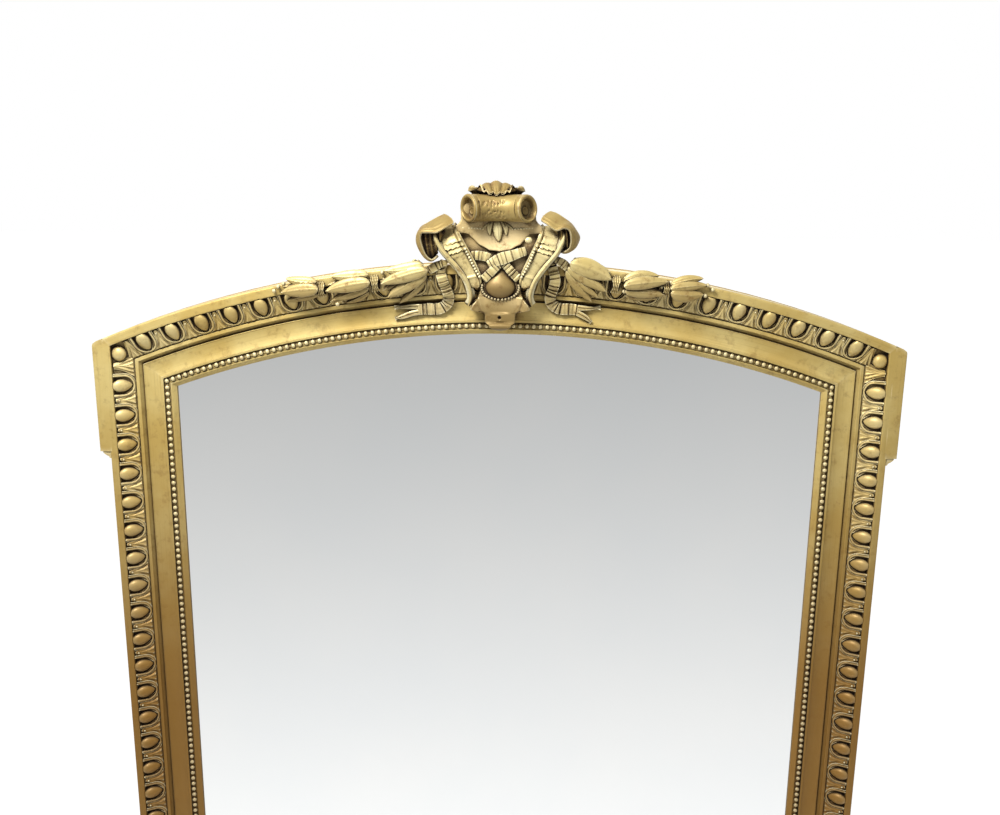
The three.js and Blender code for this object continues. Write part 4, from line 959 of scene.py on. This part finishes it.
def band(places, count, across, relief, side=1):
    """A sheet along places of (x, z, f, width); relief(s, u, z) raises its face."""
    line = smooth_line(places, count)
    middle = crest(side * line[:, 0], line[:, 1], line[:, 2])
    run = np.gradient(middle, axis=0)
    s = np.cumsum(np.linalg.norm(run, axis=1))
    run /= np.linalg.norm(run, axis=1, keepdims=True)
    over = np.stack([-run[:, 2], 0 * run[:, 0], run[:, 0]], -1) * side
    over /= np.linalg.norm(over, axis=1, keepdims=True)
    over -= run * (over * run).sum(1, keepdims=True)
    over /= np.linalg.norm(over, axis=1, keepdims=True)
    up = np.cross(run, over) * side
    u = np.linspace(-1, 1, across)
    rise = relief(s[:, None], u[None], line[:, 1:2]) + np.zeros((count, across))
    aside = over[:, None] * (u[None, :, None] * line[:, 3, None, None] / 2)
    rows = middle[:, None] + aside + up[:, None] * rise[..., None]
    return rows if side == 1 else rows[:, ::-1]


print("a line of", len(smooth_line([(0, 0), (1, 2), (3, 3)], 9)), "points through 3 places")

# %% [markdown]
# ## The cartouche
# The shield is one carved block: an apron like a shallow dish with a scalloped hem, a sunk
# ground under it where the ribbons cross, a lower panel with two wings, and a tongue that
# rolls over the mouldings. It could be sculpted, but a block like this is well made as a
# height over its outline, since each form of the carving is then one line of the formula,
# blended in below the height where it starts.

# %% The shield's outline and the height of its face
SHIELD = np.array([
    (98, 56), (92, 60), (72, 61), (67, 64), (61, 71), (45, 72), (25, 64), (5, 54), (-12, 44),
    (-30, 36), (-44, 33.5), (-56, 37.5), (-66, 46), (-73, 50), (-75.5, 45), (-78, 33),
    (-79, 26.5), (-84, 25.2), (-92, 25), (-96, 24.5), (-98, 20.5), (-99.5, 19), (-103, 18),
    (-105.5, 14.5), (-107.5, 11), (-109, 6), (-109.6, 1.5),
])


def hem(x):
    """The scalloped lower edge of the apron."""
    return 20 + 28 * np.minimum(1, np.abs(x) / 50) ** 2.2 + 1.3 * np.abs(np.sin(x / 5.4))


def shield_face(x, z):
    """How far the carving stands in front of the lip: apron, panel, wings and tongue."""
    bowl = 11.5 + 5.5 * ((x / 56) ** 2 + ((z - 46) / 26) ** 2)
    under = 8.6 + 2.5 * np.clip(-z / 40, 0, 1)
    inside = 1 / (1 + np.exp(-(z - hem(x)) / 0.5))
    face = under * (1 - inside) + np.minimum(bowl, 18) * inside
    panel = np.clip((-50 - z) / 4, 0, 1)
    wing = np.clip((np.abs(x) - 26) / 18, 0, 1)
    low = 13.2 - 1.8 * np.cos(x / 9) * np.clip((-54 - z) / 12, 0, 1) + 8.0 * wing ** 1.3
    crease = 2.0 * np.exp(-((np.abs(x) - 35 - 0.3 * (z + 66)) / 1.6) ** 2)
    face = face * (1 - panel) + (low - crease) * panel
    tongue = np.clip((-78 - z) / 3, 0, 1)
    flat = 14.5 - 0.8 * (x / 20) ** 2
    roll = 4.5 * np.sin(np.clip((-94 - z) / 15, 0, 1) * np.pi) - 6.5 * np.clip((-103 - z) / 7, 0, 1) ** 2
    groove = 1.4 * np.exp(-((z + 95.5 - 1.0 * np.cos(x / 6)) / 1.0) ** 2)
    hole = 6 * np.exp(-(((x + 1) ** 2 + (z + 87) ** 2) / 5.5) ** 2)
    return face * (1 - tongue) + (flat + roll - groove - hole) * tongue


print("apron", round(shield_face(0, 50), 1), "panel", round(shield_face(0, -60), 1), "mm before the lip")

# %% [markdown]
# The block is cut from that formula. Its face is rounded over at the edge, as a carver
# takes off the arris, and its sides run straight back: not far above, where it stands free
# of the frame, and down to the mouldings below.

# %% Shield
EDGE_ROUND = 2.2
work = Work()
z = np.linspace(98, -109.4, 168)
half = np.interp(-z, -SHIELD[:, 0], SHIELD[:, 1])
u = np.linspace(-1, 1, 81)
x = half[:, None] * u[None]
edge = np.minimum(1, (1 - np.abs(u)) * half[:, None] / EDGE_ROUND)
face = shield_face(x, z[:, None]) - EDGE_ROUND * (1 - np.sqrt(1 - (1 - edge) ** 2))
top = crest(x, z[:, None], face)
sides = crest(x[:, [-1, 0]], z[:, None], np.where(z > -12, -6.0, -27.0)[:, None])
work.grid(np.concatenate([top, sides], axis=1), round_=True, caps=True)
settle(work, "shield", SHIELD_GILT, ["cartouche"], sharp=60)

# %% [markdown]
# The boss is a smooth drop like an onion, with its point up between the ribbons and a
# string of beads round its foot. It is turned like work on a lathe: a line of half widths
# gives one flattened ring for each height.

# %% Boss and its beads
ONION = [
    (-57.5, 0.4), (-54, 12), (-47, 21.5), (-38, 25.5), (-29, 23), (-20, 16), (-12, 8.5),
    (-5, 3.5), (2, 0.3),
]
work = Work()
onion = smooth_line(ONION, 30)
turn = np.linspace(0, 2 * np.pi, 40, endpoint=False)[None]
width = np.maximum(onion[:, 1:2], 0.2)
rings = crest(width * np.cos(turn), onion[:, :1], 9.0 + width * 0.56 * np.sin(turn))
work.grid(rings, round_=True, caps=True)
for side in (-1, 1):
    for k in range(10):
        a = math.radians(side * (6 + 10.6 * k))
        centre = crest(30.5 * math.sin(a), -37.5 - 19.5 * math.cos(a), 14.5)
        work.ball(centre, (2.4, 2.4, 2.4), around=10, along=7)
settle(work, "onion_boss", SHADE_TONED_GILT, sharp=60)

# %% [markdown]
# The straps run down both sides of the shield. Each has a raised outer rim that goes on
# below as a thin fin, a smooth channel with folds across it, and a row of beads along its
# inner edge. A strap is a band with a thick second skin; its folds are a saw-tooth in its
# relief, so they stay crisp without extra pieces.

# %% Straps at both sides
STRAP = [
    (84, 68, 4, 32), (85, 60, 15, 37), (84, 45, 25, 41), (72, 21, 23, 40),
    (57, -3, 19.5, 35), (45, -23, 18.5, 29), (39, -32, 17.5, 20), (36, -37, 16, 7),
]
FIN = [
    (98, 66, 14, 5), (102, 58, 24, 5.5), (103, 44, 31, 6), (92, 22, 29, 6.5), (72, -2, 25, 6.5),
    (56, -25, 22, 6), (49, -45, 18, 5.5), (49, -58, 14, 5.5), (52, -68, 8, 4),
]
INNER_EDGE = [(56, 26), (48, 7), (40, -9), (32, -23)]
STRAP_BEAD_PITCH = 5.0


def strap_relief(s, u, z):
    hollow = -5.5 * np.clip((z - 34) / 14, 0, 1) * (1 - u ** 2)
    step = (z - 12 - 4 * u) / 7.2
    saw = 3.2 * (1 - (step - np.floor(step)))
    saw = saw * np.clip((z - 12) / 6, 0, 1) * np.clip((37 - z) / 4, 0, 1)
    folds = saw + 1.8 * np.exp(-((z + 20 - 4 * u) / 2.0) ** 2)
    ridge = 3.2 * np.exp(-((u + 0.80) / 0.10) ** 2) * np.clip((z - 22) / 8, 0, 1)
    groove = -1.5 * np.exp(-((u + 0.62) / 0.07) ** 2)
    return hollow + folds * (np.abs(u) < 0.93) + ridge + groove - 1.6 * u ** 4


for name, side in (("left", -1), ("right", 1)):
    work = Work()
    work.shell(band(STRAP, 110, 33, strap_relief, side), 7.0)
    work.shell(band(FIN, 90, 9, lambda s, u, z: 2.6 * (1 - u ** 2), side), 11.0)
    inner = smooth_line(INNER_EDGE, 200)
    gone = np.concatenate([[0], np.cumsum(np.linalg.norm(np.diff(inner, axis=0), axis=1))])
    for k in range(int(gone[-1] / STRAP_BEAD_PITCH) + 1):
        bx, bz = (np.interp(STRAP_BEAD_PITCH * k, gone, inner[:, i]) for i in (0, 1))
        work.ball(crest(side * bx, bz, 23.0 + 0.09 * bz), (2.3, 2.3, 2.3), around=9, along=6)
    if side == 1:  # a small knob where the ribbon is pinned
        work.ball(crest(47, 41, 26), (6.2, 4.0, 5.2), around=16, along=9)
    settle(work, f"{name}_strap_band", CARVED_GILT, [f"{name}_strap"], sharp=50)

# %% [markdown]
# ## Scroll
# Above the apron lies a thick scroll whose ends come forward, so that its volutes can be
# seen from the front as dark ovals. It is a tube along a curved line. At each end the tube
# goes on into smaller circles, first outward for the rim and then deep into the roll, so
# the volutes are real hollows and go dark by themselves.

# %% Scroll with sunk volutes
def scroll_ring(part, radius, inward=0.0, count=72):
    """A circle square to the scroll's line, its x, z, f and angle. Inward moves it into the
    roll. Small circles lie off the middle, as the inner turns of a rolled sheet do."""
    bow = 20 if part > 0 else 15
    x, f = 49 * part, 19 + bow * abs(part) ** 2.3
    slope = math.copysign(2.3 * bow * abs(part) ** 1.3 / 49, part)
    run = math.hypot(1, slope)
    a = np.linspace(0, 2 * np.pi, count, endpoint=False)
    shift = -inward * math.copysign(1, part)
    off = 0.3 * (19.4 - min(radius, 19.4))
    out = np.cos(a) * radius - off * 0.7
    x, f = x - out * slope / run + shift / run, f + out / run + shift * slope / run
    return x, 91 - off + np.sin(a) * radius, f, a


VOLUTE = (
    (0.5, 11.8), (3.4, 11.6), (4.4, 11.2), (5.0, 10.4), (6.0, 10.2), (6.8, 10.8), (7.4, 11.8),
    (10, 12), (13.4, 11.4), (14.8, 10), (15.8, 5.4), (16.8, 2.4), (18, 0.8), (19.4, 0.1),
    (20.8, 0.5), (21.9, 1.8), (22.4, 3.6),
)
ends = {}
for end in (-1, 1):
    ends[end] = [crest(*scroll_ring(end, radius, inward)[:3]) for radius, inward in VOLUTE]
rng = np.random.default_rng(7)
DENT_ROWS = [79, 82, 86, 97, 100]
dents = [(rng.uniform(-31, 11), rng.choice(DENT_ROWS) + rng.normal(0, 1.6)) for _ in range(58)]
body = []
for part in np.linspace(-0.955, 0.955, 130):
    x, z, f, a = scroll_ring(part, 21.2 + 1.2 * part * part)
    facing = np.clip(np.cos(a), 0, 1)
    rim = 0.9 * math.exp(-((abs(part) - 0.88) / 0.03) ** 2)
    rim = rim - 1.5 * math.exp(-((abs(part) - 0.78) / 0.02) ** 2)
    fringe = 1.3 * abs(math.sin(part * 17)) * np.exp(-((z - 73) / 3.0) ** 2)
    punched = sum(np.exp(-(((x - dx) ** 2 + (z - dz) ** 2) / 1.9)) for dx, dz in dents)
    body.append(crest(x, z, f + facing * (rim + fringe - 1.7 * np.minimum(punched, 1.2))))
work = Work()
work.grid(ends[-1] + body + ends[1][::-1], round_=True, caps=True)
settle(work, "scroll_roll", SHADE_TONED_GILT, ["top_scroll"], sharp=50)

# %% [markdown]
# ## Shell
# The shell on top is a fan of fluted lobes that rolls forward over the scroll. It is one
# sheet: u goes across the fan and v from its root, up over the top and down to its front
# edge. The lobes are a cosine across it, and the edge rises at the tip of each side.

# %% Shell of fluted lobes
SHELL_TOP = 132.6
u = np.linspace(-1, 1, 97)[None]
v = np.linspace(0, 1, 34)[:, None]
lobe = np.abs(np.cos(u * np.pi * 2.5)) ** 0.8
reach = 1 - 0.2 * (1 - lobe)
tip = np.exp(-((np.abs(u) - 0.93) / 0.09) ** 2)
peak = 112 + 19.2 * (1 - np.abs(u) ** 1.7) * (0.86 + 0.14 * lobe) + 9 * tip
front_z = 108.5 + 7.5 * np.abs(u) ** 1.6 + 3.6 * (1 - lobe) + 7 * tip
swing = np.sin(np.minimum(v / 0.42, 1) * np.pi / 2)
fall = np.clip((v - 0.42) / 0.58, 0, 1)
x = -1.2 + 44.5 * u * (0.66 + 0.34 * np.sin(np.pi * np.minimum(v * 1.1, 1))) * (1 - 0.06 * fall)
z = 102 + (peak - 102) * swing - (peak - front_z) * fall ** 1.3
z = z + 2.2 * np.clip((v - 0.9) / 0.1, 0, 1)
f = -8 + 12 * v + 25 * reach * (1 - 0.3 * u ** 2) * v ** 1.3
f = f + 3.0 * np.clip((v - 0.88) / 0.12, 0, 1)
veins = 0.7 * np.abs(np.sin(u * 24)) * np.clip(fall * 2, 0, 1)
flute = (2.6 * (lobe - 0.6) + veins) * np.sin(np.pi * np.clip(v * 1.02, 0, 1)) ** 0.4
work = Work()
work.shell(crest(x, np.minimum(z + flute * 0.5, SHELL_TOP), f + flute)[:, ::-1], 2.6)
settle(work, "shell", SHADE_TONED_GILT, ["shell_leaf"], sharp=60)
# %% [markdown]
# ## Ribbons
# A silk bow was carved in wood: two stiff loops behind the straps, a knot crossing the
# shield, and two long tails that fall over the mouldings and end in forked points. A loop
# is a sheet between its near and its far rim, which are given as places of (x, z, f). A
# pleated web fills it, as it does in the carving, so that one can't look through. The two
# sides aren't copies of each other, so each has its own places.

# %% Loops of the bow
LOOPS = {
    -1: ([(-76, 68, 30), (-90, 60, 38), (-103, 53, 42), (-116, 53, 41), (-127, 52, 38),
          (-130, 42, 35), (-127, 28, 33), (-121, 14, 30), (-111, 7, 26), (-101, 14, 20)],
         [(-92, 81, 10), (-103, 76, 16), (-117, 68, 19), (-129, 61, 19), (-135, 52, 17),
          (-138, 42, 15), (-137, 31, 13), (-129, 17, 11), (-117, 9, 9), (-106, 15, 6)]),
    1: ([(64, 73, 30), (77, 65, 38), (88, 58, 42), (100, 62, 41), (110, 58, 38),
         (113, 47, 35), (113, 36, 33), (110, 27, 30), (101, 22, 26), (92, 26, 20)],
        [(80, 87, 10), (90, 84, 16), (103, 76, 19), (114, 68, 19), (122, 58, 17),
         (128, 48, 15), (128, 40, 13), (122, 28, 11), (110, 23, 9), (98, 27, 6)]),
}


def bow_loop(side):
    """The sheet of a loop, with soft hems along it, and the pleated web inside."""
    loop = Work()
    near, far = (smooth_line(rim, 80) for rim in LOOPS[side])
    u = np.linspace(0, 1, 25)[None, :, None]
    sheet = near[:, None] * (1 - u) + far[:, None] * u
    hems = 1.5 * np.exp(-((u - 0.12) / 0.05) ** 2) + 1.3 * np.exp(-((u - 0.32) / 0.05) ** 2)
    hems = hems + 2.5 * np.sin(np.pi * u)
    middle = np.array([side * 108, 40, 25])
    away = sheet - middle
    away[..., 2] = 0
    sheet += away / np.linalg.norm(away, axis=2, keepdims=True) * hems
    loop.shell(front(*np.moveaxis(sheet, -1, 0))[:, ::side], 2.6)
    inner = middle * [1, 1, 0] + (0.48 * far + 0.52 * near - middle * [1, 1, 0]) * [0.96, 0.96, 1]
    hub = np.array([side * 98, 38, 29.0])
    web = hub + (inner[:, None] - hub) * np.linspace(0.02, 1, 20)[None, :, None]
    web[..., 2] += 2.6 * np.sin(web[..., 0] * 0.8 + web[..., 1] * 0.1)
    loop.shell(front(*np.moveaxis(web, -1, 0))[:, ::side], 3.0)
    return loop


print("rims of a loop:", len(LOOPS[1][0]), "and", len(LOOPS[1][1]), "places")

# %% [markdown]
# Each tail is one gathered band that falls from the strap, turns outward over the hollow
# and splits into two points, and a short twist links the bow to the laurel. The places
# are (x, z, f, width). The points are bands of their own, because one sheet can't fork.

# %% Tails, and both bows in place
TAILS = {
    -1: [(93, 4, 4, 13), (98, -12, 5, 16), (95, -28, 4, 17), (90, -42, -4, 17), (86, -56, -12, 18),
         (90, -69, -18, 19), (103, -77, -20, 19), (122, -78, -20.5, 19), (140, -79, -21, 17)],
    1: [(82, 8, 4, 13), (87, -10, 5, 16), (90, -26, 4, 17), (87, -42, -4, 17), (83, -55, -12, 18),
        (87, -67, -18, 19), (99, -75, -20, 19), (118, -76, -20.5, 19), (134, -78, -21, 17)],
}
POINTS = {
    -1: [[(136, -74, -20, 9), (148, -74, -20, 8), (162, -75, -20.5, 5.5), (178, -76, -21, 1)],
         [(136, -83, -20, 9), (149, -86, -20, 8.5), (163, -91, -20.5, 7.5), (177, -95, -21, 2)]],
    1: [[(130, -73, -20, 9), (142, -74, -20, 8), (154, -74, -20.5, 5.5), (169, -73, -21, 1)],
        [(130, -82, -20, 9), (138, -86, -20, 9), (146, -91, -20.5, 7.5), (154, -98, -21, 2)]],
}
LINKS = {
    -1: [(88, 2, 6, 9), (98, 0, 9, 12), (108, -5, 9, 15), (118, -11, 7, 13)],
    1: [(84, 12, 6, 9), (94, 8, 9, 12), (103, 2, 9, 15), (112, -6, 7, 13)],
}


def point_relief(s, u, z):
    return 3.4 - 0.04 * s - 1.2 * u ** 2 - 1.5 * np.exp(-(u / 0.2) ** 2)


def bow_tail(side):
    """A tail with its two points, and the twist that links the bow to the laurel."""
    tail = Work()
    tail.shell(band(TAILS[side], 190, 13, gathered(11.5, 5.6, side, 1.6), side), 3.2)
    for places in POINTS[side]:
        tail.shell(band(places, 44, 9, point_relief, side), 3.2)
    tail.shell(band(LINKS[side], 50, 9, gathered(7.0, 2.4, 2 + side, 1.4), side), 3.0)
    return tail


for name, side in (("left", -1), ("right", 1)):
    settle(
        bow_loop(side), f"{name}_bow_loop", SHADE_TONED_GILT,
        [f"{name}_ribbon_loop"], sharp=50,
    )
    settle(
        bow_tail(side), f"{name}_bow_tail", CARVED_GILT,
        [f"{name}_ribbon_tail"], sharp=35,
    )

# %% [markdown]
# The knot on the shield is four short bands that cross. Each has its own pitch of pleats,
# and a seed that shifts them, so that no two bands look stamped.

# %% Knot on the shield
KNOT = [
    ([(-47, 15, 13, 13), (-36, 15, 14.5, 15), (-24, 13, 15, 15), (-12, 9, 15, 14)], 6.2, 0.5),
    ([(3, 6, 15, 11), (-5, -1, 17.5, 13), (-15, -11, 18, 14), (-27, -23, 15.5, 14)], 6.6, 1.5),
    ([(1, 6, 15, 11), (9, -1, 17.5, 13), (18, -11, 18, 14), (30, -23, 15.5, 14)], 6.0, 2.5),
    ([(-20, 0, 16, 13), (-9, 6, 19, 17), (4, 11, 20.5, 20), (20, 16, 19.5, 17), (42, 23, 14, 14)], 6.4, 3.5),
]
work = Work()
for places, period, seed in KNOT:
    work.shell(band(places, 64, 11, gathered(period, 3.4, seed, 1.2)), 4.2)
settle(work, "ribbon_knot", CARVED_GILT, ["ribbon_swag"], sharp=35)

# %% [markdown]
# ## Leaves
# Husks and laurels are all the same kind of body: a pointed leaf, full in the middle, with
# a raised rib between two shallow furrows, and curled a little at its tip. Only its ends,
# its width and its height above the lip differ, so one function carves them all. Its face
# and its rounded underside are one closed grid.

# %% One leaf
def leaf(work, root, tip, width, f=(6, 8), swell=4.5, bow=0.0, curl=2.0, thick=2.4):
    """A leaf from root to tip, both (x, z); bow bends it sideways, curl lifts its tip."""
    t = np.linspace(0, 1, 19)[:, None]
    u = np.linspace(-1, 1, 15)[None]
    root, tip = np.array(root, float), np.array(tip, float)
    length = np.linalg.norm(tip - root)
    along = (tip - root) / length
    aside = np.array([-along[1], along[0]])
    half = 0.58 * width * np.sin(np.pi * t ** 0.9) ** 0.58 * (1 - 0.14 * t) + 0.12 * width * (1 - t)
    half = np.maximum(half, 0.12)
    offset = bow * 4 * t * (1 - t) + u * half
    x = root[0] + along[0] * length * t + aside[0] * offset
    z = root[1] + along[1] * length * t + aside[1] * offset
    share = half / half.max()
    rise = swell * (1 - u ** 2) ** 0.8 * (0.3 + 0.7 * share)
    rise = rise + 0.7 * share * (np.exp(-(u / 0.10) ** 2) - 0.6 * np.exp(-((np.abs(u) - 0.24) / 0.11) ** 2))
    rise = rise + 0.35 * share * np.cos(t * 40 + np.abs(u) * 7) * (1 - np.abs(u))
    height = f[0] + (f[1] - f[0]) * t + rise + curl * np.clip((t - 0.75) / 0.25, 0, 1) ** 2
    top = crest(x, z, height)
    under = crest(x, z, height - rise - 0.3 - thick * share * (1 - u ** 2) ** 0.6)
    work.grid(np.concatenate([top, under[:, ::-1]], axis=1), round_=True, caps=True)


print("one leaf: face and underside of 19 by 15 points each")

# %% [markdown]
# A husk hangs on the apron under the scroll: one bell of a leaf, two smaller ones beside
# it, and two thin sepals, with a row of small beads going out to both sides.

# %% Husk on the apron
work = Work()
leaf(work, (-3, 76), (-1.5, 37), 14, (15, 14), 5.5, 0, -1)
for side in (-1, 1):
    leaf(work, (-3 + side * 2, 75), (-2 + side * 13, 47), 10, (14.2, 13), 4.0, side * 5, 2)
    leaf(work, (-3 + side * 3, 70), (-2 + side * 25, 57), 6, (14.5, 13.5), 2.2, side * 3, 1)
    for k in range(8):
        x = side * (24 + 4.6 * k) - 2
        work.ball(crest(x, 58 + 0.2 * k, 12.6 + 0.5 * k), (2.6, 2.2, 2.2), around=10, along=7)
settle(work, "husk", CARVED_GILT, ["husk_pendant"], sharp=60)

# %% [markdown]
# ## Laurel
# On each side three bundles of laurel lie on the lip, tied with a twist of ribbon, with
# small berries between. One leaf scattered over them would look stamped: the old
# carver cut each leaf on its own, so each has its own line here, as root (x, z), tip
# (x, z), width, its height at both ends, and how far it bows sideways.

# %% Bundles of laurel
LAUREL = {
    ("left", 1): {
        "leaves": [((-126, -1), (-190, -11), 19, 9, 8, 4), ((-119, -9), (-196, -33), 20, 11, 8, -2),
                   ((-122, -17), (-186, -56), 20, 8, 2, -2),
                   ((-124, -24), (-168, -67), 14, 4, -5, 1), ((-128, -14), (-194, -45), 14, 4, 1, 0)],
        "berries": [(-135, 3), (-141, 4), (-194, -15), (-191, -27)], "tie": (-207, -33, 26),
    },
    ("left", 2): {
        "leaves": [((-217, -18), (-279, -21), 19, 8, 7, 3), ((-214, -30), (-287, -46), 20, 11, 8, -2),
                   ((-217, -40), (-281, -64), 16, 6, 1, -2),
                   ((-218, -48), (-258, -68), 11, 0, -6, 1), ((-216, -27), (-284, -36), 14, 5, 4, 0)],
        "berries": [(-273, -34), (-227, -45), (-221, -24), (-269, -68)], "tie": (-296, -44, 23),
    },
    ("left", 3): {
        "leaves": [((-302, -31), (-352, -26), 16, 8, 7, 3), ((-299, -42), (-361, -49), 20, 10, 7, -1),
                   ((-301, -52), (-355, -65), 13, 4, 0, -2),
                   ((-302, -40), (-358, -39), 12, 4, 4, 1)],
        "berries": [(-357, -35), (-366, -40), (-373, -47), (-305, -36)], "tie": None,
    },
    ("right", 1): {
        "leaves": [((114, 4), (182, -22), 26, 9, 7, 3), ((110, -4), (175, -43), 18, 7, 3, 1),
                   ((108, -9), (152, -61), 17, 6, -4, 0),
                   ((112, -12), (163, -54), 13, 4, 0, 0), ((120, 3), (181, -12), 14, 4, 4, 3)],
        "berries": [(123, 9), (128, 5), (134, 6), (119, -10), (113, -14)], "tie": (190, -31, 27),
    },
    ("right", 2): {
        "leaves": [((203, -24), (260, -16), 17, 6, 5, 3), ((202, -32), (275, -25), 18, 11, 8, 2),
                   ((205, -41), (271, -47), 17, 7, 3, 1),
                   ((206, -48), (262, -55), 12, 2, -4, 0)],
        "berries": [(206, -21), (211, -39), (204, -42), (266, -34)], "tie": (274, -37, 22),
    },
    ("right", 3): {
        "leaves": [((280, -30), (333, -19), 14, 6, 6, 2), ((279, -36), (339, -30), 15, 9, 7, 1),
                   ((280, -44), (335, -46), 20, 9, 5, -2),
                   ((284, -50), (325, -52), 10, 2, 1, -2)],
        "berries": [(281, -27), (341, -31), (350, -38), (338, -48)], "tie": None,
    },
}
BERRY = 3.6


def twist_relief(s, u, z):
    return 1.1 * np.abs(np.sin(u * 5.5)) + 0.4 * np.sin(s * 0.9)


for (name, number), bundle in LAUREL.items():
    work = Work()
    for root, tip, width, f0, f1, bow in bundle["leaves"]:
        leaf(work, root, tip, width, (f0 * 1.9 - 3, f1 * 1.7 - 1), 4.8, bow, thick=8)
    for x, z in bundle["berries"]:
        work.ball(crest(x, z, 7), (BERRY, BERRY * 0.9, BERRY), around=12, along=8)
    if bundle["tie"]:
        tx, tz, height = bundle["tie"]
        slope = math.copysign(0.12, tx)
        places = [
            (tx + slope * k * height, tz + k * height, 2 + 9 * (1 - 4 * k * k), 11 + 3 * math.cos(i * 2.1))
            for i, k in enumerate((-0.5, -0.25, 0, 0.25, 0.5))
        ]
        work.shell(band(places, 36, 25, twist_relief), 5.0)
    solid = f"laurel_{name}_{number}"
    settle(work, f"{solid}_carved", LAUREL_GILT, [solid], sharp=60)
# %% [markdown]
# ## The room
# The mirror stands in a plain pale room. To the camera the floor and the world are white,
# and the floor carries a painted soft shadow, found with ambient occlusion. What the plate
# shows is the floor in front of it, and there the floor, as a glossy ray sees it, is painted
# from white close by to grey further out, a painted shade for the lamps' light falling off,
# and back to white where it meets the world. So the plate is white low down and grey at
# the top, as in a real room. A picture of a room could be put there, but a graded floor
# shows the same thing and stays plain.

# %% Pale floor, graded in reflections
def ray(nodes, kind):
    return nodes.node("ShaderNodeLightPath", {}, {}, kind)


def seen_rays(nodes):
    """1 for what is seen by the camera, in a reflection or through glass."""
    return ray(nodes, "Is Camera Ray") + ray(nodes, "Is Glossy Ray") + ray(nodes, "Is Transmission Ray")


def pale_floor():
    finish = Finish("pale_floor", Roughness=0.8, Specular_IOR_Level=0.1)
    place = finish.place()
    grain = finish.noise(place, 2.0, 4.0, 0.5)
    # Painted shade: the floor's colour goes grey further out in front of the mirror.
    away = finish.node("ShaderNodeMath", {"operation": "MAXIMUM"}, {0: 0 - finish.part(place, "Y"), 1: 0.0})
    level = finish.node("ShaderNodeMath", {"operation": "MINIMUM"}, {0: 0.36 + 1.6 / (away + 2), 1: 0.965})
    level = level + (1 - level) * finish.steps(away, 12, 26)
    colour = finish.mix(level, rgb("000000"), rgb("ffffff"))
    finish.surface(Base_Color=colour, Roughness=0.7 + grain * 0.1)
    mirrored = finish.mix(ray(finish, "Is Glossy Ray"), rgb("f7f7f7"), colour)
    # Painted shadow: the floor is darker where the frame stands close over it.
    shaded = finish.mix(finish.openness(0.35, 8), rgb("a5a5a6"), mirrored)
    glow = finish.node("ShaderNodeEmission", {}, {"Color": shaded, "Strength": 1.3}, "Emission")
    lit = Shade(finish, finish.shader.outputs[0])
    both = finish.node("ShaderNodeMixShader", {}, {0: seen_rays(finish) * 0.82, 1: lit, 2: glow})
    finish.feed(finish.tree.nodes["Material Output"].inputs["Surface"], both)
    return finish.material


bpy.ops.mesh.primitive_plane_add(size=60, location=(0, 0, -0.0005))
floor = bpy.context.object
floor.name = "floor"
floor.data.materials.append(pale_floor())
print("floor, in metres:", [round(side) for side in floor.dimensions[:2]])

# %% [markdown]
# The world is a white that only what is seen gets in full. As light it is weak, because
# even light from all around would fill the hollows and take the life out of the carving.

# %% World
world = bpy.data.worlds.new("pale_room")
bpy.context.scene.world = world
world.use_nodes = True
room = Nodes(world.node_tree, "Background")
WORLD_LIGHT = 0.2
strength = room.node("ShaderNodeMapRange", {}, {0: seen_rays(room), 3: WORLD_LIGHT, 4: 1.0})
room.feed(room.shader.inputs["Color"], (1, 1, 1, 1))
room.feed(room.shader.inputs["Strength"], strength)
print("world:", world.name)

# %% [markdown]
# The lamps are soft boxes, as a photographer of antiques would use them. The key stands
# high on the left and close, so that the light falls off to the right and to below. A weak
# one fills in from the right, and one behind lights the back for whoever walks round.

# %% Lamps
def lamp(name, place, aim, size, power):
    """A soft box in metres that looks at aim, its power in watts."""
    data = bpy.data.lights.new(name, "AREA")
    data.shape = "RECTANGLE"
    data.size, data.size_y = size
    data.energy = power
    thing = bpy.data.objects.new(name, data)
    bpy.context.scene.collection.objects.link(thing)
    thing.location = place
    thing.rotation_mode = "QUATERNION"
    thing.rotation_quaternion = (Vector(aim) - Vector(place)).to_track_quat("-Z", "Y")
    print(name, power, "W")


lamp("key", (-0.68, -1.1, 2.85), (-0.05, 0, 1.6), (0.7, 0.45), 50)
lamp("fill", (1.6, -2.6, 2.4), (0, 0, 1.2), (1.2, 1.2), 4)
lamp("back", (0.0, 2.6, 3.0), (0, 0, 1.2), (2.4, 1.4), 20)

# %% [markdown]
# The camera is where the photograph was taken from: a little above the arch, on the
# mirror's middle line, and looking down by 13 degrees. With a lens as long as its sensor
# is wide, a picture 1000 pixels wide has a focal length of 1000 pixels. Its matrix is made
# from where it looks and its small roll, since a constraint would have to be baked.

# %% Camera
PITCH_DOWN, YAW, ROLL = 0.2269, 0.0013, 0.0101
STAND = (-0.0008, -1.6893, 1.8352)
ahead = math.cos(PITCH_DOWN)
look = Vector((math.sin(YAW) * ahead, math.cos(YAW) * ahead, -math.sin(PITCH_DOWN)))
level_right = Vector((math.cos(YAW), -math.sin(YAW), 0))
level_up = level_right.cross(look)
right = level_right * math.cos(ROLL) + level_up * math.sin(ROLL)
up = -level_right * math.sin(ROLL) + level_up * math.cos(ROLL)
data = bpy.data.cameras.new("camera")
data.lens, data.sensor_width = 36, 36
camera = bpy.data.objects.new("camera", data)
bpy.context.scene.collection.objects.link(camera)
camera.matrix_world = Matrix((*zip(right, up, -look, STAND), (0, 0, 0, 1)))
bpy.context.scene.camera = camera
bpy.context.scene.view_settings.view_transform = "Standard"
print("camera", STAND, "metres, looking down", round(math.degrees(PITCH_DOWN), 1), "degrees")

# %% [markdown]
# The dress may lie inside that box but never stick out of it.

# %% Import json
import json
